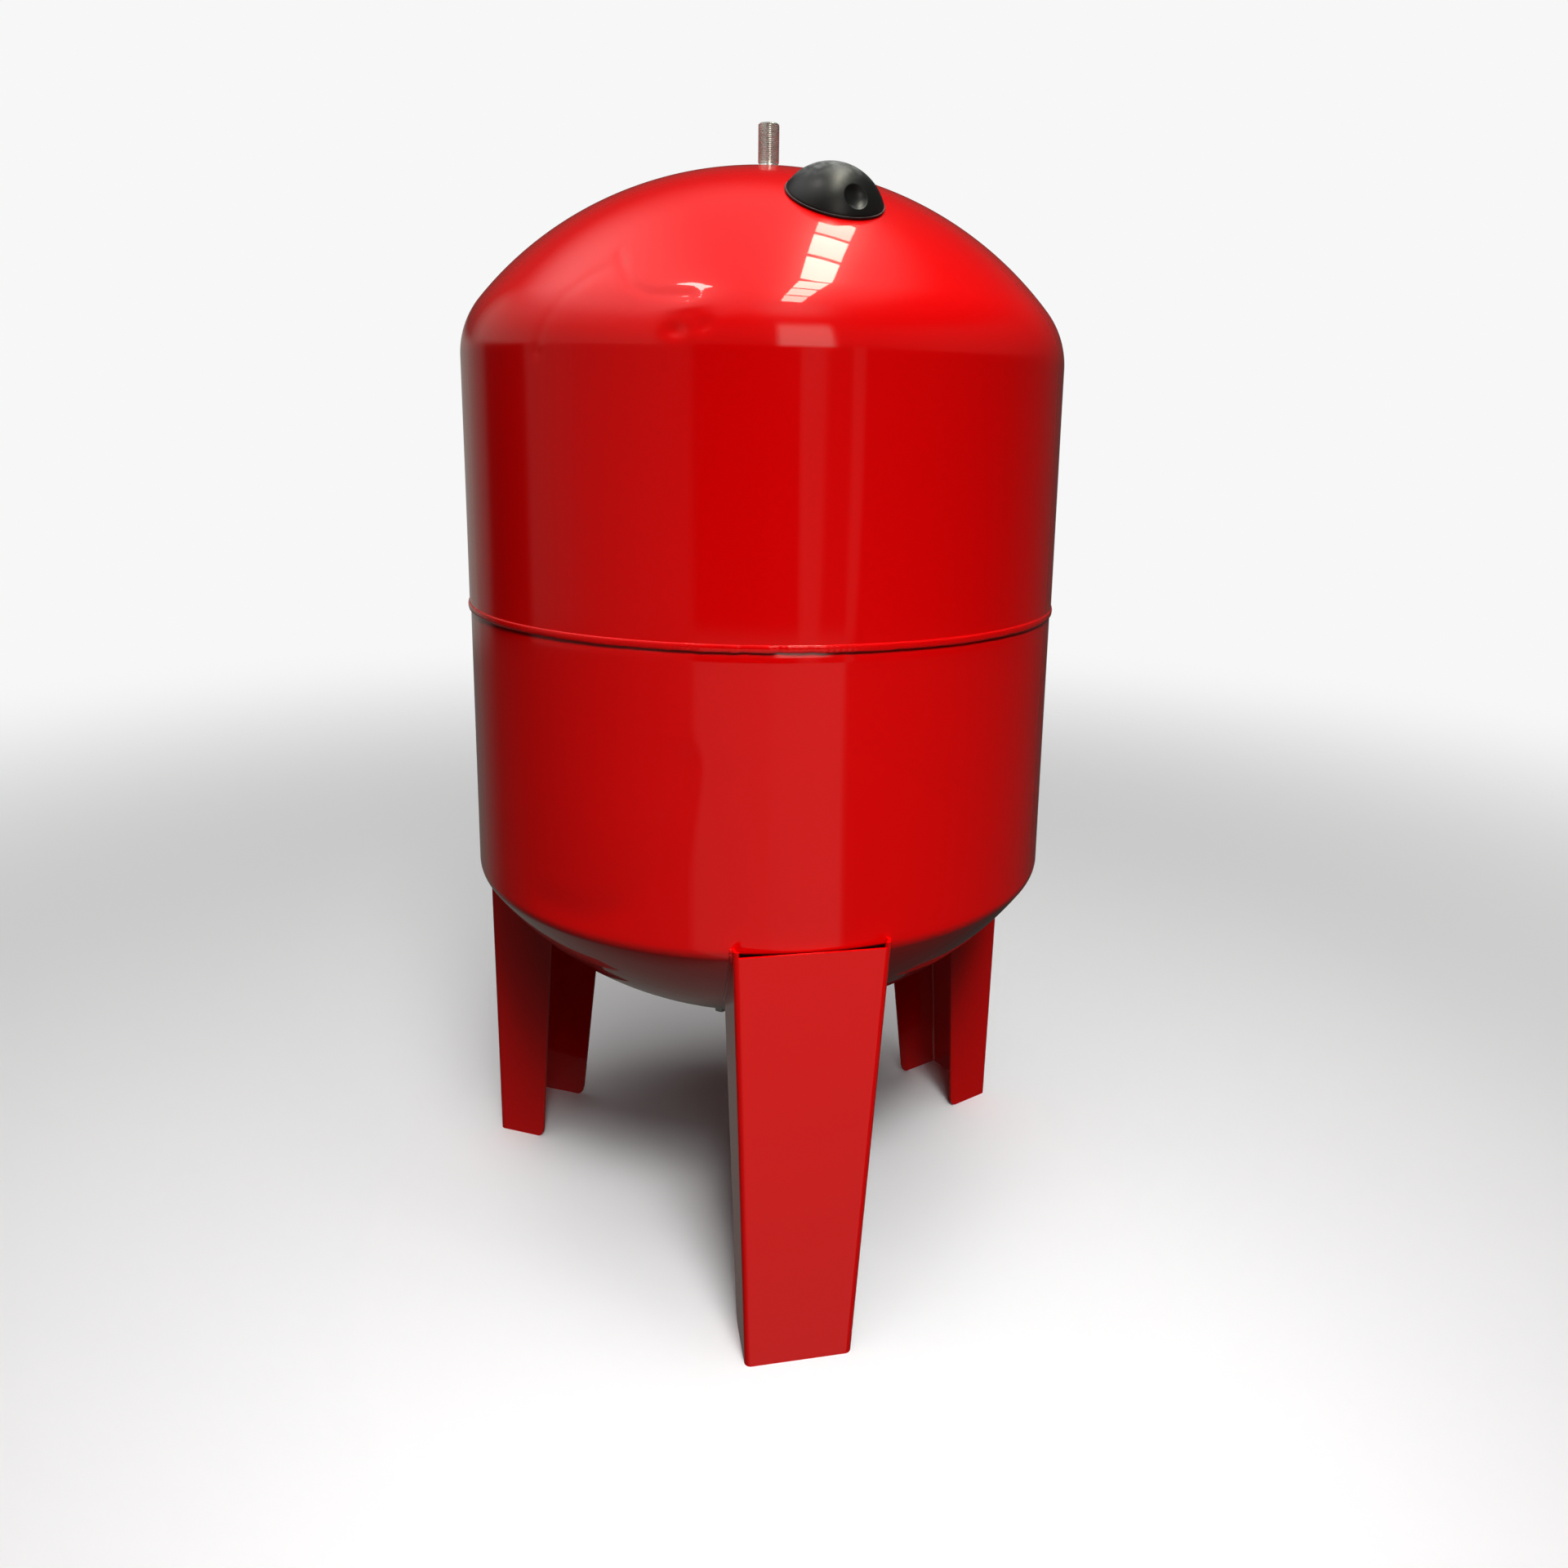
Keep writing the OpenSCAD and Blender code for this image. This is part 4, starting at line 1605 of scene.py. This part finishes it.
@dataclass(frozen=True)
class SoftBox:
    """An area light that looks at a point."""

    name: str
    place: tuple[float, float, float]
    aim: tuple[float, float, float]
    size: tuple[float, float]
    radiance: float
    tint: Colour = (1.0, 1.0, 1.0)
    turn: float = 0.0
    spread: float = 180.0
    reach: Reach = Reach.ALL

    def build(self) -> None:
        """Makes the light; its power follows from its size and how bright it looks."""
        light = bpy.data.lights.new(self.name, "AREA")
        light.shape = "RECTANGLE"
        light.size, light.size_y = self.size
        light.energy = self.radiance * math.pi * self.size[0] * self.size[1]
        light.color = self.tint
        light.spread = math.radians(self.spread)
        lamp = bpy.data.objects.new(self.name, light)
        bpy.context.scene.collection.objects.link(lamp)
        look = (Vector(self.aim) - Vector(self.place)).to_track_quat("-Z", "Y").to_matrix().to_4x4()
        turn = Matrix.Rotation(math.radians(self.turn), 4, "Z")
        lamp.matrix_world = Matrix.Translation(self.place) @ turn @ look
        lamp.visible_diffuse, lamp.visible_glossy = self.reach.value


@dataclass(frozen=True)
class Room:
    """The air that glossy paint mirrors: a dim room with lit openings under a bright roof.

    Each stop is an azimuth from the front leg towards +X, in degrees, and how bright it looks.
    """

    roof: tuple[float, float] = (1.2, 0.30)
    roof_from: float = 38.0
    roof_to: float = 60.0
    matt_roof: float = 0.05
    matt_ground: float = 0.25
    matt_level: float = 0.012
    paper: float = 0.93
    tint: Colour = (1.0, 0.93, 0.84)
    level: Stops = (
        (-152, 0.30), (-134, 0.12), (-130, 0.0), (-106, 0.0), (-102, 0.16), (-82, 0.14), (-78, 0.11),
        (-36, 0.10), (-33, 0.0), (3.5, 0.0), (4.5, 0.24), (12, 0.20), (13, 0.03), (21, 0.03), (21.7, 0.20),
        (25.5, 0.18), (26.3, 0.01), (80, 0.01), (130, 0.05), (172, 0.05), (180, 0.30))
    high: Stops = (
        (-150, 0.05), (-138, 0.35), (-50, 0.32), (-42, 0.10), (-5, 0.08), (-3, 2.4), (14, 2.4), (16, 0.08),
        (60, 0.14), (110, 0.05))
    ground: Stops = (
        (-150, 0.13), (-130, 0.03), (-108, 0.03), (-36, 0.10), (-33, 0.32), (-7, 0.34), (-5, 0.40),
        (21.5, 0.42), (23, 0.06), (100, 0.04), (172, 0.04), (180, 0.13))

    def strips(self, tree: bpy.types.NodeTree, turn: Socket, stops: Stops) -> Socket:
        """Adds a ramp round the horizon.

        Args:
            tree: the world's node tree.
            turn: the azimuth, as 0 to 1 for -180 to 180 degrees.
            stops: azimuth and brightness of each stop.

        Returns:
            The ramp's colour.
        """
        ramp = tree.nodes.new("ShaderNodeValToRGB")
        tree.links.new(turn, ramp.inputs[0])
        elements = ramp.color_ramp.elements
        while len(elements) < len(stops):
            elements.new(0.5)
        for element, (azimuth, _) in zip(elements, stops):
            element.position = azimuth / 360 + 0.5
        for element, (_, bright) in zip(elements, stops):
            element.color = (*(bright * c for c in self.tint), 1.0)
        return ramp.outputs["Color"]

    def build(self) -> None:
        """Makes the world."""
        world = bpy.data.worlds.new("studio_air")
        bpy.context.scene.world = world
        world.use_nodes = True
        tree = world.node_tree
        nodes, links = tree.nodes, tree.links
        nodes.clear()

        def math_node(operation: str, *values: object) -> Socket:
            """Adds a maths node.

            Args:
                operation: what it does.
                values: its values or sockets.

            Returns:
                Its result.
            """
            node = nodes.new("ShaderNodeMath")
            node.operation = operation
            for value, target in zip(values, node.inputs):
                if isinstance(value, bpy.types.NodeSocket):
                    links.new(value, target)
                else:
                    target.default_value = value
            return node.outputs[0]

        def step(value: Socket, low: float, high: float) -> Socket:
            """Adds a smooth step from 0 to 1.

            Args:
                value: the value that it follows.
                low: where it starts.
                high: where it ends.

            Returns:
                The step's value.
            """
            node = nodes.new("ShaderNodeMapRange")
            node.interpolation_type = "SMOOTHSTEP"
            links.new(value, node.inputs["Value"])
            node.inputs["From Min"].default_value, node.inputs["From Max"].default_value = low, high
            return node.outputs["Result"]

        def mix(share: Socket, under: object, over: object) -> Socket:
            """Mixes two colours.

            Args:
                share: how much of the second shows.
                under: the first, as a grey value or a socket.
                over: the second.

            Returns:
                The mixed colour.
            """
            node = nodes.new("ShaderNodeMix")
            node.data_type = "RGBA"
            links.new(share, node.inputs[0])
            for value, target in ((under, node.inputs[6]), (over, node.inputs[7])):
                if isinstance(value, bpy.types.NodeSocket):
                    links.new(value, target)
                else:
                    target.default_value = (value, value, value, 1.0)
            return node.outputs[2]

        split = nodes.new("ShaderNodeSeparateXYZ")
        links.new(nodes.new("ShaderNodeTexCoord").outputs["Generated"], split.inputs[0])
        x, y, z = split.outputs
        rise = math_node("MULTIPLY", math_node("ARCSINE", z), 180 / math.pi)
        turn = math_node("ARCTAN2", x, math_node("MULTIPLY", y, -1.0))
        turn = math_node("ADD", math_node("MULTIPLY", turn, 0.5 / math.pi), 0.5)
        ground, level = self.strips(tree, turn, self.ground), self.strips(tree, turn, self.level)
        walls = mix(step(rise, -11.5, -9.0), ground, level)
        walls = mix(step(rise, 5.0, 9.0), walls, self.strips(tree, turn, self.high))
        walls = mix(step(rise, 24.0, 34.0), walls, 0.03)
        roof = mix(step(x, -0.62, -0.10), *self.roof)
        slope = math_node("ADD", rise, math_node("MULTIPLY", x, -20.0))
        gloss = mix(step(slope, self.roof_from, self.roof_to), walls, roof)
        below = mix(step(rise, -60.0, -30.0), self.matt_ground, self.matt_level)
        matt = mix(step(rise, -8.0, 12.0), below, self.matt_roof)
        path = nodes.new("ShaderNodeLightPath")
        seen = mix(path.outputs["Is Camera Ray"], mix(path.outputs["Is Glossy Ray"], matt, gloss), self.paper)
        air = nodes.new("ShaderNodeBackground")
        links.new(seen, air.inputs["Color"])
        links.new(air.outputs[0], nodes.new("ShaderNodeOutputWorld").inputs[0])


@dataclass
class Studio:
    """The pale floor, the soft lights and the camera."""

    floor_radius: float = 5.0
    floor_fade: tuple[float, float] = (0.35, 3.6)
    floor_tone: Colour = (0.86, 0.86, 0.86)
    lens: float = 27.225
    shift: tuple[float, float] = (-0.02865, -0.08151)
    eye: tuple[float, float, float] = (-0.1900, -1.2374, 0.8405)
    yaw: float = 11.944
    pitch: float = 11.047
    roll: float = -1.195
    pane_middle: tuple[float, float, float] = (0.40, -0.33, 3.0)
    pane_turn: float = -13.4
    pane_size: tuple[float, float] = (0.28, 0.36)
    pane_gap: float = 0.05
    pane_tint: Colour = (1.0, 0.97, 0.80)
    pane_glow: tuple[float, ...] = (15.0, 17.0, 18.0, 18.0, 14.0, 9.0, 5.0)
    boxes: tuple[SoftBox, ...] = (
        SoftBox("roof_glow", (0.0, -0.3, 3.2), (0.0, -0.1, 0.0), (2.6, 2.6), 3.7, reach=Reach.MATT),
        SoftBox("front_glow", (0.0, -2.6, 2.9), (0.0, 0.0, 0.6), (0.95, 1.2), 8.2, reach=Reach.MATT),
        SoftBox("spark", (-0.87, -0.66, 3.0), (-0.1, -0.28, 0.93), (0.30, 0.22), 16.0, (1.0, 0.95, 0.88),
                reach=Reach.GLOSS),
        SoftBox("leg_glow", (0.1, -2.0, 2.6), (0.0, -0.3, 0.14), (0.9, 0.6), 1.65, spread=34,
                reach=Reach.MATT),
    )

    def panes(self) -> list[SoftBox]:
        """Gives the roof light's panes, which only the paint's gloss shows.

        Returns:
            A soft box for each pane.
        """
        turn = math.radians(self.pane_turn)
        pitch = self.pane_size[1] + self.pane_gap
        x, y, z = self.pane_middle
        made = []
        for index, glow in enumerate(self.pane_glow):
            along = (index - (len(self.pane_glow) - 1) / 2) * pitch
            place = (x - along * math.sin(turn), y + along * math.cos(turn), z)
            below = (place[0], place[1], 0.0)
            made.append(SoftBox(f"roof_pane_{index + 1}", place, below, self.pane_size, glow, self.pane_tint,
                                self.pane_turn, reach=Reach.GLOSS))
        return made

    def make_floor(self) -> None:
        """Makes a round pale floor whose rim fades out."""
        bpy.ops.mesh.primitive_circle_add(vertices=96, radius=self.floor_radius, fill_type="NGON")
        floor = named("studio_floor")
        with editing(floor, Part.FACES):
            select_all()
            bpy.ops.mesh.inset(thickness=self.floor_radius * 0.4)
        g = Graph("pale_floor")
        away = g.node("ShaderNodeVectorMath", Vector=g.place)
        away.operation = "LENGTH"
        tone = g.blend(g.noise(2.0), self.floor_tone, tuple(c * 0.985 for c in self.floor_tone))
        fade = g.ranged(away.outputs["Value"], *self.floor_fade, 1.0, 0.0, "SMOOTHERSTEP")
        g.finish(Base_Color=tone, Roughness=0.9, Specular_IOR_Level=0.0, Alpha=fade)
        floor.data.materials.append(g.material)
        floor.visible_diffuse = floor.visible_glossy = False

    def make_camera(self) -> None:
        """Sets the camera at the usual viewing height and angle."""
        data = bpy.data.cameras.new("studio_camera")
        data.lens, data.sensor_width = self.lens, 36.0
        data.shift_x, data.shift_y = self.shift
        camera = bpy.data.objects.new("studio_camera", data)
        bpy.context.scene.collection.objects.link(camera)
        yaw, pitch, roll = (math.radians(v) for v in (self.yaw, self.pitch, self.roll))
        forward = Vector((math.sin(yaw) * math.cos(pitch), math.cos(yaw) * math.cos(pitch), -math.sin(pitch)))
        level = Vector((math.cos(yaw), -math.sin(yaw), 0))
        down = forward.cross(level)
        right = math.cos(roll) * level + math.sin(roll) * down
        low = -math.sin(roll) * level + math.cos(roll) * down
        axes = Matrix((right, -low, -forward)).transposed()
        camera.matrix_world = Matrix.Translation(self.eye) @ axes.to_4x4()
        bpy.context.scene.camera = camera

    def build(self) -> None:
        """Makes the floor, the air, the lights and the camera."""
        scene = bpy.context.scene
        scene.view_settings.view_transform = "Standard"
        scene.view_settings.look = "None"
        self.make_camera()
        self.make_floor()
        Room().build()
        lights = [*self.boxes, *self.panes()]
        for box in lights:
            box.build()
        log.info("studio: %d soft boxes", len(lights))


def main() -> None:
    """Builds the vessel's sub-assemblies in order, and the studio round them."""
    logging.basicConfig(level=logging.INFO, format="%(name)s %(message)s")
    deselect()
    Studio().build()
    maker = Maker(Finishes())
    maker.carry_over()
    UpperShell().build(maker)
    LowerShell().build(maker)
    GirthWeld().build(maker)
    for name, turn, lean in zip(LEG_NAMES, LEG_TURNS, (FRONT_LEAN, 0.0, 0.0)):
        Leg(name, turn, lean).build(maker)
    TopNipple().build(maker)
    seat = ValveSeat()
    ValveCover().build(maker, seat)
    ValveSpring().build(maker, seat)
    DustCap().build(maker, seat)
    deselect()
    log.info("%d pieces made", maker.made)


if __name__ == "__main__":
    main()
